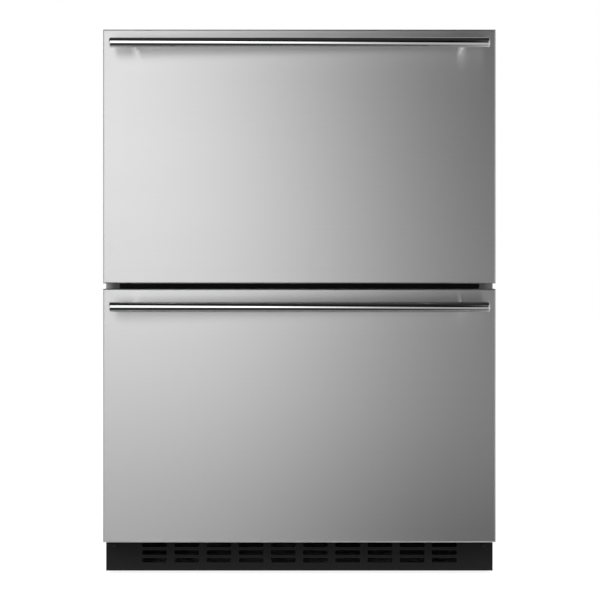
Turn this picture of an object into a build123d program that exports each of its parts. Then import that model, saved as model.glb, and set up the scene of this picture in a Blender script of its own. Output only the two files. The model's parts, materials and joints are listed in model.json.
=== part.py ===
from build123d import *
import math
import os

# Undercounter refrigerator, 600 mm wide, with two full-width drawers that run on telescopic slides.
# +X is the right-hand side, the fronts face -Y and +Z is up. Sizes are in millimetres and degrees.
# The model is drawn with y = 0 at the face of the cabinet's flanges and z = 0 on the floor.
# save() moves each piece to the part's origin: the floor under the middle of the overall box.

# ---- Driving dimensions -------------------------------------------------------------------------

# Cabinet shell
cabinet_width = 600.0
cabinet_depth = 555.0
cabinet_top = 834.0
sheet = 1.0
flange_width = 21.0
base_height = 12.0
base_sheet = 2.0
base_flange = 26.0
rear_edge_recess = 4.0
channel_top = 62.0
deck_sheet = 1.2
deck_lip = 20.0
room_depth = 210.0
room_top = 220.0
bracket_side_inset = 50.0
bracket_inset = 30.0
bracket_thread_radius = 2.1
rivet_nut_radius = 3.5
rivet_nut_length = 13.0
rivet_nut_end = 2.0

# Toe grille
toe_clearance = 4.0
toe_sheet = 2.0
toe_return = 12.0
slot_length = 38.0
slot_height = 6.8
slot_corner = 0.8
slot_columns = 10
slot_pitch = 50.0
slot_rows = 3
slot_row_pitch = 12.0
slot_first_row = 16.2

# Insulation and liners
side_insulation = 35.0
top_insulation = 39.0
rear_insulation = 44.0
floor_insulation = 35.0
step_insulation = 30.0
riser_insulation = 25.0
mullion_height = 54.0
mullion_return = 12.0
liner_wall = 2.0
liner_flange = 2.0
liner_lip = 6.0
liner_corner = 14.0
duct_spacing = 300.0
duct_width = 80.0
duct_depth = 26.0
duct_rear_gap = 10.0

# Drawer fronts
front_bottom = 55.0
front_gap = 8.4
front_above_top = 4.4
upper_front_extra = 1.0
front_thickness = 32.0
front_bend = 2.0
front_return = 12.0
front_wall = 2.0
gasket_depth = 8.0
gasket_width = 14.0
gasket_base = 3.0
gasket_bulb_inset = 2.0
gasket_inset = 5.0
sill_gasket_rise = 10.0
plateau_rise = 10.0
plateau_clearance = 5.0

# Handles
bar_diameter = 15.0
bar_end_inset = 14.5
bar_edge = 2.0
bar_drop = 26.0
handle_reach = 45.0
post_diameter = 13.0
post_side_inset = 50.0
post_fit = 0.1

# Telescopic slides
slide_front = 4.0
slide_rear_gap = 36.0
slide_thickness = 12.7
rail_sheet = 1.2
cabinet_rail_height = 45.0
ball_gap = 4.8
rail_lip = 1.6
web_clearance = 0.8
cabinet_tip_gap = 2.5
upper_slide_drop = 96.0
lower_slide_drop = 88.0

# Drawer frames, bins and dividers
frame_sheet = 1.5
frame_below_slide = 20.0
frame_tab = 25.0
crossbar_height = 34.0
rim_above_slide = 35.0
bin_sheet = 1.0
bin_floor_edge = 6.0
bin_rim = 4.5
bin_side_gap = 1.0
bin_front_gap = 6.0
bin_floor_gap = 8.0
upper_bin_rear_gap = 47.0
lower_bin_rear_gap = 20.0
vent_slot_length = 44.0
vent_slot_height = 8.0
vent_slot_pitch = 80.0
vent_slot_count = 4
vent_slot_drop = 60.0
divider_sheet = 3.0
divider_clearance = 0.3
divider_floor_gap = 4.0
divider_hook = 3.0
divider_shoe = 12.0

# Levelling feet
foot_side_inset = 35.0
front_foot_inset = 70.0
rear_foot_inset = 55.0
foot_pad = 40.0
foot_pad_sides = 12
foot_pad_height = 6.0
foot_hex = 17.0
foot_stud_radius = 5.0
foot_stud_reach = 26.0
foot_nut = 18.0
foot_nut_height = 12.0
thread_clearance = 0.3

# Machine room
compressor_x = 118.0
compressor_rear_inset = 107.0
compressor_radius = 62.0
compressor_sides = 30
compressor_height = 138.0
compressor_lid = 2.5
compressor_lid_height = 72.0
compressor_shoulder = 20.0
compressor_plate_x = 170.0
compressor_plate_y = 116.0
compressor_plate = 3.0
grommet_radius = 9.0
grommet_sides = 12
grommet_height = 14.0
terminal_box = 34.0
condenser_x = -145.0
condenser_rear_inset = 109.0
condenser_length = 132.0
condenser_width = 72.0
condenser_height = 160.0
condenser_pass_pitch = 50.0
condenser_foot = 16.0
fan_ring_radius = 66.0
fan_ring_sides = 24
fan_ring_wall = 2.0
fan_ring_length = 30.0
fan_plate_size = 152.0
fan_plate_gap = 4.0
fan_plate_sheet = 2.0
fan_strut_width = 8.0
fan_strut_depth = 4.0
blade_count = 5
blade_pitch = 28.0
blade_sheet = 2.0
blade_corner = 8.0
blade_clearance = 6.0
hub_sides = 20
condenser_hub_radius = 18.0
condenser_hub_length = 16.0
condenser_rotor_gap = 11.0
condenser_chords = (20.0, 36.0)
motor_radius = 20.0
motor_length = 32.0
shaft_radius = 2.5
shaft_length = 20.0
drain_pan_x = 150.0
drain_pan_y = 126.0
drain_pan_height = 18.0
drain_pan_wall = 2.0
drain_lobe_x = 34.0
drain_lobe_gap = 4.0
seat_clearance = 0.3
louvre_count = 9
louvre_height = 5.0
louvre_pitch = 14.0
louvre_width = 180.0
louvre_x = -110.0
louvre_rise = 36.0
inlet_side_inset = 75.0
inlet_rise = 56.0
inlet_flange_x = 50.0
inlet_flange_z = 28.0
inlet_flange = 2.0
inlet_body_x = 29.0
inlet_body_z = 22.0
inlet_body_depth = 24.0
inlet_socket_x = 24.5
inlet_socket_z = 17.0
inlet_socket_depth = 17.0
inlet_pin = 2.0
inlet_pin_height = 4.0
inlet_pin_length = 15.0
inlet_pin_pitch = 7.0
inlet_outer_pin_drop = 1.5
inlet_middle_pin_rise = 2.5

# Refrigerant circuit inside the cabinet
fin_sheet = 1.6
fin_proud = 5.0
evaporator_fin_pitch = 20.0
condenser_fin_pitch = 12.0
coil_plate = 2.0
coil_tube_radius = 4.5
coil_bend = 8.0
evaporator_length = 330.0
evaporator_width = 44.0
evaporator_fan_gap = 22.8
evaporator_pass_inset = 19.0
evaporator_rear_gap = 10.0
evaporator_rise = 34.0
tube_radius = 4.0
tube_sides = 12
tube_bend = 14.0
tube_wall_gap = 22.0
drain_x = 84.0
drain_rise = 14.0
drain_proud = 2.0
drain_end_gap = 4.0
suction_rise = 84.0
discharge_run = 20.0
tube_clearance = 0.3

# Evaporator cover, fan and controls
cover_wall = 1.8
cover_side_gap = 57.0
cover_depth = 68.0
cover_clearance = 4.0
fan_opening_radius = 56.0
fan_drop = 88.0
cover_slot_count = 6
cover_slot_width = 8.0
cover_slot_length = 60.0
cover_slot_pitch = 26.0
rotor_front_gap = 11.0
evaporator_hub_radius = 15.0
evaporator_hub_length = 14.0
evaporator_chords = (18.0, 30.0)
shaft_past_hub = 6.0
guard_bar = 2.4
guard_ring_radius = 30.0
guard_ring_sides = 16
bracket_half = 66.0
bracket_height = 18.0
bracket_sheet = 5.0
control_width = 180.0
control_depth = 70.0
control_height = 22.0
control_wall = 2.0
control_inset = 14.0
display_width = 46.0
display_height = 11.0
display_recess = 0.8
button_width = 14.0
button_height = 9.0
button_spacing = 90.0
button_proud = 1.5
button_length = 7.0
button_skirt = 1.5
button_skirt_length = 2.0
button_edge = 0.5
button_clearance = 0.3
lamp_length = 120.0
lamp_depth = 14.0
lamp_height = 6.0
lamp_offset = 170.0
lamp_inset = 20.0

# ---- Worked-out planes --------------------------------------------------------------------------

side_out = cabinet_width / 2
side_in = side_out - sheet
back_in = cabinet_depth - sheet
roof_in = cabinet_top - sheet
opening_x = side_out - flange_width
bracket_x = side_out - bracket_side_inset

front_back = -gasket_depth
front_face = front_back - front_thickness
bar_axis = front_face - handle_reach
bar_half = side_out - bar_end_inset
post_x = side_out - post_side_inset
overall_depth = cabinet_depth - bar_axis + bar_diameter / 2
face_y = overall_depth / 2 - cabinet_depth

upper_front_top = cabinet_top + front_above_top
lower_front_height = (upper_front_top - front_bottom - front_gap - upper_front_extra) / 2
lower_front_top = front_bottom + lower_front_height
upper_front_bottom = lower_front_top + front_gap
gap_middle = (lower_front_top + upper_front_bottom) / 2

liner_x = side_in - side_insulation - liner_wall
liner_back = back_in - rear_insulation - liner_wall
upper_floor = gap_middle + mullion_height / 2
upper_ceiling = roof_in - top_insulation - liner_wall
lower_ceiling = gap_middle - mullion_height / 2
deck_top = channel_top + deck_sheet
lower_floor = deck_top + floor_insulation + liner_wall
room_front = cabinet_depth - room_depth
step_top = room_top + step_insulation + liner_wall
step_front = room_front - riser_insulation - liner_wall

pan_top = base_height + base_sheet
room_cover_y = cabinet_depth - rear_edge_recess
room_cover_front = room_cover_y - sheet
room_ceiling = room_top - deck_sheet

upper_slide_z = upper_ceiling - upper_slide_drop
lower_slide_z = lower_ceiling - lower_slide_drop
frame_out = liner_x - slide_thickness
frame_in = frame_out - frame_sheet
plateau_face = front_back + plateau_rise
bin_half = frame_in - bin_side_gap
bin_front = plateau_face + bin_front_gap
cover_front = liner_back - cover_depth
slide_back = cover_front - slide_rear_gap
upper_bin_back = cover_front - upper_bin_rear_gap
lower_bin_back = step_front - lower_bin_rear_gap
middle_rail_half = cabinet_rail_height / 2 - rail_sheet - ball_gap
drawer_rail_half = middle_rail_half - rail_sheet - ball_gap
middle_web = liner_x - rail_sheet - web_clearance
drawer_tip = middle_web - rail_sheet - web_clearance

foot_x = side_out - foot_side_inset
rear_foot_y = cabinet_depth - rear_foot_inset
riser_tube_y = back_in - tube_wall_gap
cover_half = liner_x - cover_side_gap
fan_z = upper_ceiling - fan_drop
evaporator_y = liner_back - evaporator_rear_gap - evaporator_width / 2
evaporator_top = fan_z - fan_opening_radius - evaporator_fan_gap
evaporator_height = evaporator_top - upper_floor - evaporator_rise
evaporator_z = evaporator_top - evaporator_height / 2
evaporator_pass_pitch = evaporator_height / 2 - evaporator_pass_inset
control_bottom = upper_ceiling - control_height
inlet_x = side_out - inlet_side_inset
inlet_z = pan_top + inlet_rise
compressor_y = cabinet_depth - compressor_rear_inset
condenser_y = cabinet_depth - condenser_rear_inset
compressor_bottom = pan_top + grommet_height + compressor_plate
compressor_top = compressor_bottom + compressor_height
drain_pan_z = compressor_top + seat_clearance
condenser_z = pan_top + condenser_foot + condenser_height / 2
fan_plate_x = condenser_x + condenser_width / 2 + fan_plate_gap
fan_strut_x = fan_plate_x + fan_ring_length - fan_strut_depth


# ---- Basic forms --------------------------------------------------------------------------------

def block(x0, x1, y0, y1, z0, z1):
    """A box from its lowest to its highest corner."""
    return Pos((x0 + x1) / 2, (y0 + y1) / 2, (z0 + z1) / 2) * Box(x1 - x0, y1 - y0, z1 - z0)


def rod_x(radius, x0, x1, y, z):
    """A round bar along X."""
    return Pos((x0 + x1) / 2, y, z) * Rot(0, 90, 0) * Cylinder(radius, x1 - x0)


def rod_y(radius, x, y0, y1, z):
    """A round bar along Y."""
    return Pos(x, (y0 + y1) / 2, z) * Rot(90, 0, 0) * Cylinder(radius, y1 - y0)


def rod_z(radius, x, y, z0, z1):
    """A round bar along Z."""
    return Pos(x, y, (z0 + z1) / 2) * Cylinder(radius, z1 - z0)


def prism_z(sides, across_flats, x, y, z0, z1):
    """A bar along Z with a regular outline."""
    outline = RegularPolygon(across_flats / 2, sides, major_radius=False)
    return Pos(x, y, z0) * extrude(outline, amount=z1 - z0)


def hex_z(across_flats, x, y, z0, z1):
    """A hexagonal bar along Z."""
    return prism_z(6, across_flats, x, y, z0, z1)


def tube_hole(x, y0, y1, z0, z1):
    """A square clearance opening for a tube at x, between the given depths or heights."""
    half = tube_radius + tube_clearance
    return block(x - half, x + half, y0, y1, z0, z1)


def spread(count, pitch):
    """Evenly pitched offsets about zero."""
    return [(i - (count - 1) / 2) * pitch for i in range(count)]


def left_of(shape):
    """The same piece on the left-hand side."""
    return mirror(shape, about=Plane.YZ)


def group(shapes):
    """Separate solids that share one node."""
    return Compound([solid for shape in shapes for solid in shape.solids()])


def save(name, shape):
    """Moves a piece to the part's origin and writes it."""
    export_step(Pos(0, face_y, 0) * group([shape]), f"parts/{name}.step")


# ---- Cabinet shell ------------------------------------------------------------------------------

def outer_wrapper():
    """The sides and top, one folded sheet with front flanges and two rivet nuts for a counter bracket."""
    shell = block(-side_out, side_out, 0, cabinet_depth, base_height, cabinet_top)
    shell -= block(-side_in, side_in, sheet, cabinet_depth, base_height, roof_in)
    shell -= block(-opening_x, opening_x, 0, sheet, base_height, cabinet_top - flange_width)
    shell -= block(-side_out, side_out, 0, toe_sheet, base_height, channel_top)
    shell += rivet_nut_bodies()
    bore_end = cabinet_top - rivet_nut_length + rivet_nut_end
    for x in (-bracket_x, bracket_x):
        shell -= rod_z(bracket_thread_radius, x, bracket_inset, bore_end, cabinet_top)
    return shell


def rivet_nut_bodies():
    """The hexagonal bodies of the two rivet nuts under the top."""
    z0 = cabinet_top - rivet_nut_length
    nut = hex_z(2 * rivet_nut_radius, bracket_x, bracket_inset, z0, roof_in)
    return nut + left_of(nut)


def back_panel():
    """The flat rear sheet over the insulation."""
    return block(-side_in, side_in, back_in, cabinet_depth, room_ceiling, roof_in)


def machine_room_cover():
    """The louvred rear cover, with the opening for the power inlet."""
    cover = block(-side_in, side_in, room_cover_front, room_cover_y, pan_top, room_ceiling)
    for row in range(louvre_count):
        z = pan_top + louvre_rise + row * louvre_pitch
        x0, x1 = louvre_x - louvre_width / 2, louvre_x + louvre_width / 2
        cover -= block(x0, x1, room_cover_front, room_cover_y, z, z + louvre_height)
    cover -= inlet_block(inlet_body_x, inlet_body_z, room_cover_front, room_cover_y)
    return cover


def base_pan():
    """The floor of the machine room and air channel, flanged, with weld nuts for the feet."""
    front = toe_sheet + toe_return + deck_sheet
    pan = block(-side_in, side_in, front, room_cover_front, base_height, pan_top)
    flange_top = pan_top + base_flange
    side = block(side_in - base_sheet, side_in, front, room_cover_front, base_height, flange_top)
    pan += side + left_of(side)
    rear_flange = room_cover_front - base_sheet
    pan += block(-side_in, side_in, rear_flange, room_cover_front, base_height, flange_top)
    nut_top = pan_top + foot_nut_height
    for x, y in foot_places().values():
        pan += hex_z(foot_nut, x, y, pan_top, nut_top)
        pan -= rod_z(foot_stud_radius + thread_clearance, x, y, base_height, nut_top)
    return pan


def deck_plate():
    """The sill, the deck over the air channel, and the walls of the machine room, one folded sheet."""
    sill_top = lower_floor - liner_lip
    deck = block(-opening_x, opening_x, 0, sheet, channel_top, sill_top)
    deck += block(-side_in, side_in, sheet, room_front + deck_sheet, channel_top, deck_top)
    deck += block(-side_in, side_in, room_front, room_front + deck_sheet, channel_top, room_top)
    deck += block(-side_in, side_in, room_front, back_in, room_ceiling, room_top)
    lip_front = room_cover_front - deck_sheet
    deck += block(-side_in, side_in, lip_front, room_cover_front, room_ceiling - deck_lip, room_ceiling)
    half = tube_radius + tube_clearance
    for x in (condenser_x, compressor_x, drain_x):
        deck -= tube_hole(x, riser_tube_y - half, riser_tube_y + half, room_ceiling, room_top)
    return deck


def liner_envelope(floor, ceiling, flange_bottom, flange_top):
    """The outside of a liner, filled in: the tub and its front flange."""
    wall = liner_wall
    tub = block(-liner_x - wall, liner_x + wall, 0, liner_back + wall, floor - wall, ceiling + wall)
    tub = fillet(tub.edges().filter_by(Axis.Y), liner_corner + wall)
    return tub + block(-opening_x, opening_x, 0, liner_flange, flange_bottom, flange_top)


def liner_cavity(floor, ceiling):
    """The inside of a liner."""
    cavity = block(-liner_x, liner_x, 0, liner_back, floor, ceiling)
    return fillet(cavity.edges().filter_by(Axis.Y), liner_corner)


def upper_envelope():
    """The upper liner, filled in."""
    flange_top = cabinet_top - flange_width
    return liner_envelope(upper_floor, upper_ceiling, upper_floor - liner_lip, flange_top)


def lower_envelope():
    """The lower liner, filled in, with the step over the machine room."""
    flange_top = lower_ceiling + liner_lip
    tub = liner_envelope(lower_floor, lower_ceiling, lower_floor - liner_lip, flange_top)
    return tub - block_behind_step()


def block_behind_step():
    """What lies below and behind the step of the lower liner's outside."""
    x = liner_x + 2 * liner_wall
    y1 = liner_back + 2 * liner_wall
    z0 = lower_floor - 2 * liner_wall
    return block(-x, x, step_front + liner_wall, y1, z0, step_top - liner_wall)


def duct_blocks(grow, z0, z1):
    """The two air ducts through the mullion, larger by grow than their inside."""
    y1 = liner_back - duct_rear_gap + grow
    y0 = y1 - duct_depth - 2 * grow
    half = duct_width / 2 + grow
    ducts = [block(x - half, x + half, y0, y1, z0, z1) for x in spread(2, duct_spacing)]
    return ducts[0] + ducts[1]


def upper_liner():
    """The upper tub, with the air ducts and the holes for the tubes."""
    liner = upper_envelope() - liner_cavity(upper_floor, upper_ceiling)
    duct_bottom = lower_ceiling + liner_wall
    liner += duct_blocks(liner_wall, duct_bottom, upper_floor)
    liner -= duct_blocks(0, duct_bottom, upper_floor)
    half = tube_radius + tube_clearance
    for x, z in tube_entries():
        liner -= tube_hole(x, liner_back, liner_back + liner_wall, z - half, z + half)
    return liner


def lower_liner():
    """The lower tub, stepped over the machine room, with openings for the air ducts."""
    inside = liner_cavity(lower_floor, lower_ceiling)
    x, y1 = liner_x + liner_wall, liner_back + liner_wall
    inside -= block(-x, x, step_front, y1, lower_floor - liner_wall, step_top)
    liner = lower_envelope() - inside
    return liner - duct_blocks(0, lower_ceiling, lower_ceiling + liner_wall)


def foam_insulation():
    """The foam between the wrapper, the liners and the deck."""
    foam = block(-side_in, side_in, sheet, back_in, deck_top, roof_in)
    foam -= block(-side_in, side_in, room_front, back_in, deck_top, room_top)
    foam -= upper_envelope()
    foam -= lower_envelope()
    foam -= duct_blocks(liner_wall, lower_ceiling, upper_floor)
    foam -= rivet_nut_bodies()
    foam -= mullion_rail()
    for x, z in tube_entries():
        foam -= tube_chase(x, z)
    return foam


def mullion_rail():
    """The folded channel between the two openings, its hollow side filled by the foam."""
    z0, z1 = lower_ceiling + liner_lip, upper_floor - liner_lip
    rail = block(-opening_x, opening_x, 0, mullion_return, z0, z1)
    return rail - block(-opening_x, opening_x, sheet, mullion_return, z0 + sheet, z1 - sheet)


def tube_chase(x, z):
    """A square way through the foam for one tube: up the back, then forward to the liner."""
    half = tube_radius + tube_clearance
    up = block(x - half, x + half, riser_tube_y - half, riser_tube_y + half, room_top, z + half)
    forward = block(x - half, x + half, liner_back, riser_tube_y, z - half, z + half)
    reach = tube_bend + half
    y0, y1 = riser_tube_y - reach, riser_tube_y + half
    return up + forward + block(x - half, x + half, y0, y1, z - reach, z + half)


def toe_grille():
    """The slotted kick plate, with a return at each side."""
    grille = block(-side_out, side_out, 0, toe_sheet, toe_clearance, channel_top)
    depth = toe_sheet + toe_return
    side = block(side_in - toe_sheet, side_in, toe_sheet, depth, toe_clearance, channel_top)
    grille += side + left_of(side)
    plane = Plane(origin=(0, 0, toe_clearance + slot_first_row), x_dir=(1, 0, 0), z_dir=(0, -1, 0))
    slot = Rectangle(slot_length, slot_height)
    slot = chamfer(slot.vertices(), slot_corner)
    slots = Sketch()
    for row in range(slot_rows):
        for x in spread(slot_columns, slot_pitch):
            slots += Pos(x, row * slot_row_pitch) * slot
    return grille - extrude(plane * slots, amount=-toe_sheet)


# ---- Machine room -------------------------------------------------------------------------------

def compressor():
    """The welded steel can with its lapped lid, on its mounting plate, with the terminal box."""
    x, y, r, z0 = compressor_x, compressor_y, compressor_radius, compressor_bottom
    lid_z = compressor_top - compressor_lid_height
    lid = prism_z(compressor_sides, 2 * (r + compressor_lid), x, y, lid_z, compressor_top)
    can = chamfer(lid.faces().sort_by(Axis.Z)[-1].edges(), compressor_shoulder)
    can += prism_z(compressor_sides, 2 * r, x, y, z0, lid_z)
    half_x, half_y = compressor_plate_x / 2, compressor_plate_y / 2
    x0, x1 = compressor_x - half_x, compressor_x + half_x
    y0, y1 = compressor_y - half_y, compressor_y + half_y
    plate = block(x0, x1, y0, y1, z0 - compressor_plate, z0)
    half = terminal_box / 2
    box_z = lid_z - terminal_box
    box_x = compressor_x + r
    y0, y1 = compressor_y - half, compressor_y + half
    terminals = block(box_x - half, box_x + half / 2, y0, y1, box_z, box_z + terminal_box)
    return can + plate + terminals


def compressor_grommets():
    """Four rubber grommets between the compressor's plate and the base pan."""
    half_x = compressor_plate_x / 2 - grommet_radius
    half_y = compressor_plate_y / 2 - grommet_radius
    places = [(x, y) for x in (-half_x, half_x) for y in (-half_y, half_y)]
    top = pan_top + grommet_height
    return group([
        prism_z(grommet_sides, 2 * grommet_radius, compressor_x + x, compressor_y + y, pan_top, top)
        for x, y in places
    ])


def finned_coil(length, width, height, fin_pitch, pass_pitch, plate_width, plate_bottom):
    """Three tube passes along X through a fin pack, with end plates and return bends."""
    coil = Box(length, width - 2 * fin_proud, height - 2 * fin_proud)
    fin_count = int((length - fin_pitch) // fin_pitch) + 1
    for x in spread(fin_count, fin_pitch):
        coil += Pos(x, 0, 0) * Box(fin_sheet, width, height)
    y0, y1 = plate_width
    for x0, x1 in ((-length / 2 - coil_plate, -length / 2), (length / 2, length / 2 + coil_plate)):
        coil += block(x0, x1, y0, y1, plate_bottom, height / 2)
    for side, low in ((1, -pass_pitch), (-1, 0)):
        start = side * (length / 2 + coil_plate)
        end, high = start + side * pass_pitch / 2, low + pass_pitch
        bend = [(start, 0, low), (end, 0, low), (end, 0, high), (start, 0, high)]
        coil += mitred_tube(coil_tube_radius, eased(bend, coil_bend))
    return coil


def condenser_coil():
    """The condenser, its passes front to back, standing on the base pan by its end plates."""
    half = condenser_width / 2
    coil = finned_coil(
        condenser_length, condenser_width, condenser_height, condenser_fin_pitch,
        condenser_pass_pitch, (-half, half), pan_top - condenser_z,
    )
    return Pos(condenser_x, condenser_y, condenser_z) * Rot(0, 0, 90) * coil


def condenser_fan_housing():
    """The plate and ring round the condenser fan, with the motor on its struts."""
    half = fan_plate_size / 2
    x0, x1 = fan_plate_x, fan_plate_x + fan_plate_sheet
    ring_end = fan_plate_x + fan_ring_length
    y, z = condenser_y, condenser_z
    housing = block(x0, x1, y - half, y + half, z - half, z + half)
    for y0 in (y - half, y + half - fan_strut_width):
        housing += block(x0, x1, y0, y0 + fan_strut_width, pan_top, z)
    plane = Plane(origin=(x0, y, z), x_dir=(0, 1, 0), z_dir=(1, 0, 0))
    outside = RegularPolygon(fan_ring_radius + fan_ring_wall, fan_ring_sides, major_radius=False)
    inside = RegularPolygon(fan_ring_radius, fan_ring_sides, major_radius=False)
    housing += extrude(plane * outside, amount=fan_ring_length)
    housing -= extrude(plane * inside, amount=fan_ring_length)
    reach = fan_ring_radius + fan_ring_wall / 2
    strut_half = fan_strut_width / 2
    housing += block(fan_strut_x, ring_end, y - strut_half, y + strut_half, z - reach, z + reach)
    housing += block(fan_strut_x, ring_end, y - reach, y + reach, z - strut_half, z + strut_half)
    housing += rod_x(motor_radius, fan_strut_x, fan_strut_x + motor_length, y, z)
    return housing + rod_x(shaft_radius, fan_strut_x - shaft_length, fan_strut_x, y, z)


def fan_rotor(tip_radius, hub_radius, hub_length, root_chord, tip_chord):
    """A fan wheel about Z: a bored hub and pitched blades that widen towards their cut-off tips."""
    root, tip_half = hub_radius / 2, tip_chord / 2
    outline = Polyline(
        (root, -root_chord / 2), (tip_radius, -tip_half), (tip_radius, tip_half - blade_corner),
        (tip_radius - blade_corner, tip_half), (root, root_chord / 2), close=True,
    )
    blade = extrude(make_face(outline), amount=blade_sheet / 2, both=True)
    wheel = prism_z(hub_sides, 2 * hub_radius, 0, 0, -hub_length / 2, hub_length / 2)
    for i in range(blade_count):
        wheel += Rot(0, 0, i * 360 / blade_count) * Rot(blade_pitch, 0, 0) * blade
    return wheel - Cylinder(shaft_radius + tube_clearance, hub_length)


def condenser_fan_blades():
    """The fan wheel that draws air through the condenser."""
    x = fan_strut_x - condenser_rotor_gap
    tip_radius = fan_ring_radius - blade_clearance
    rotor = fan_rotor(tip_radius, condenser_hub_radius, condenser_hub_length, *condenser_chords)
    return Pos(x, condenser_y, condenser_z) * Rot(0, 90, 0) * rotor


def drain_pan():
    """The tray on the compressor that the defrost water dries from."""
    half_x, half_y = drain_pan_x / 2, drain_pan_y / 2
    x0, x1 = compressor_x - half_x, compressor_x + half_x
    y0, y1 = compressor_y - half_y, compressor_y + half_y
    z0, z1 = drain_pan_z, drain_pan_z + drain_pan_height
    lobe_x0, lobe_x1 = drain_x - drain_lobe_x / 2, drain_x + drain_lobe_x / 2
    lobe_back = riser_tube_y + tube_radius + drain_lobe_gap
    wall = drain_pan_wall
    pan = block(x0, x1, y0, y1, z0, z1) + block(lobe_x0, lobe_x1, compressor_y, lobe_back, z0, z1)
    pan -= block(x0 + wall, x1 - wall, y0 + wall, y1 - wall, z0 + wall, z1)
    return pan - block(lobe_x0 + wall, lobe_x1 - wall, compressor_y, lobe_back - wall, z0 + wall, z1)


def inlet_block(width, height, y0, y1):
    """A block about the power inlet's axis."""
    half_x, half_z = width / 2, height / 2
    return block(inlet_x - half_x, inlet_x + half_x, y0, y1, inlet_z - half_z, inlet_z + half_z)


def power_inlet():
    """The three-pin appliance inlet in the machine room cover."""
    face = room_cover_y + inlet_flange
    inlet = inlet_block(inlet_flange_x, inlet_flange_z, room_cover_y, face)
    inlet += inlet_block(inlet_body_x, inlet_body_z, room_cover_y - inlet_body_depth, room_cover_y)
    socket_end = face - inlet_socket_depth
    inlet -= inlet_block(inlet_socket_x, inlet_socket_z, socket_end, face)
    pin_end = socket_end + inlet_pin_length
    for offset in spread(3, inlet_pin_pitch):
        rise = -inlet_outer_pin_drop if offset else inlet_middle_pin_rise
        x0, z0 = inlet_x + offset - inlet_pin / 2, inlet_z + rise - inlet_pin_height / 2
        inlet += block(x0, x0 + inlet_pin, socket_end, pin_end, z0, z0 + inlet_pin_height)
    return inlet


# ---- Evaporator, tubes, fan and controls --------------------------------------------------------

def tube_entries():
    """Where the liquid line, the suction line and the drain pass through the upper liner: x and z."""
    return (
        (condenser_x, evaporator_z - evaporator_pass_pitch),
        (compressor_x, evaporator_z + evaporator_pass_pitch),
        (drain_x, upper_floor + drain_rise),
    )


def evaporator_coil():
    """The evaporator, its end plates against the liner's back wall, with stubs for the two lines."""
    half = evaporator_width / 2
    coil = finned_coil(
        evaporator_length, evaporator_width, evaporator_height, evaporator_fin_pitch,
        evaporator_pass_pitch, (-half, half + evaporator_rear_gap), -evaporator_height / 2,
    )
    coil = Pos(0, evaporator_y, evaporator_z) * coil
    for x, z in tube_entries()[:2]:
        coil += mitred_tube(tube_radius, [(x, evaporator_y, z), (x, evaporator_y + half, z)])
    return coil


def eased(points, run):
    """The same route with each corner cut by one short run, so that every turn is in two mitres."""
    route = [Vector(points[0])]
    for before, corner, after in zip(points, points[1:], points[2:]):
        here = Vector(corner)
        route.append(here + (Vector(before) - here).normalized() * run)
        route.append(here + (Vector(after) - here).normalized() * run)
    return route + [Vector(points[-1])]


def mitred_tube(radius, points):
    """A tube along straight runs with mitred corners, its section a polygon of many sides."""
    path = Polyline(*points)
    section = RegularPolygon(radius, tube_sides, major_radius=False)
    return sweep(Plane(origin=path @ 0, z_dir=path % 0) * section, path=path, transition=Transition.RIGHT)


def bent_tube(points):
    """One refrigerant or drain tube."""
    return mitred_tube(tube_radius, eased(points, tube_bend))


def refrigerant_tubes():
    """The discharge, liquid and suction lines and the drain tube, each a bent tube of its own."""
    (liquid_x, liquid_z), (suction_x, suction_z), (_, drain_z) = tube_entries()
    coil_back = evaporator_y + evaporator_width / 2
    condenser_end = condenser_length / 2 + coil_plate
    low_pass, high_pass = condenser_z - condenser_pass_pitch, condenser_z + condenser_pass_pitch
    run_y = condenser_y - condenser_end - discharge_run
    entry_y, entry_z = compressor_y + compressor_radius + compressor_lid, compressor_bottom + suction_rise
    discharge = bent_tube([
        (compressor_x, compressor_y - compressor_radius, low_pass), (compressor_x, run_y, low_pass),
        (condenser_x, run_y, low_pass), (condenser_x, condenser_y - condenser_end, low_pass),
    ])
    liquid = bent_tube([
        (liquid_x, condenser_y + condenser_end, high_pass), (liquid_x, riser_tube_y, high_pass),
        (liquid_x, riser_tube_y, liquid_z), (liquid_x, coil_back, liquid_z),
    ])
    suction = bent_tube([
        (suction_x, coil_back, suction_z), (suction_x, riser_tube_y, suction_z),
        (suction_x, riser_tube_y, entry_z), (suction_x, entry_y, entry_z),
    ])
    drain = bent_tube([
        (drain_x, liner_back - drain_proud, drain_z), (drain_x, riser_tube_y, drain_z),
        (drain_x, riser_tube_y, drain_pan_z + drain_pan_wall + drain_end_gap),
    ])
    return group([discharge, liquid, suction, drain])


def evaporator_cover():
    """The moulded cover over the evaporator, with the fan's opening and guard and the intake slots."""
    z0, z1 = upper_floor + cover_clearance, upper_ceiling - cover_clearance
    wall = cover_wall
    cover = block(-cover_half, cover_half, cover_front, liner_back, z0, z1)
    inner_x = cover_half - wall
    cover -= block(-inner_x, inner_x, cover_front + wall, liner_back, z0, z1 - wall)
    cover -= rod_y(fan_opening_radius, 0, cover_front, cover_front + wall, fan_z)
    cover += fan_guard()
    for x in spread(cover_slot_count, cover_slot_pitch):
        x0, x1 = x - cover_slot_width / 2, x + cover_slot_width / 2
        cover -= block(x0, x1, cover_front, cover_front + wall, z0 + cover_slot_width, z0 + cover_slot_length)
    return cover


def fan_guard():
    """The crossed bars and the ring over the fan's opening in the cover."""
    half, y1 = guard_bar / 2, cover_front + cover_wall
    plane = Plane(origin=(0, y1, fan_z), x_dir=(1, 0, 0), z_dir=(0, -1, 0))
    ring = RegularPolygon(guard_ring_radius + half, guard_ring_sides, major_radius=False)
    ring -= RegularPolygon(guard_ring_radius - half, guard_ring_sides, major_radius=False)
    guard = extrude(plane * ring, amount=cover_wall)
    bar = block(-half, half, cover_front, y1, -fan_opening_radius, fan_opening_radius)
    for turn in (45, 135):
        guard += Pos(0, 0, fan_z) * Rot(0, turn, 0) * bar
    return guard


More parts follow.
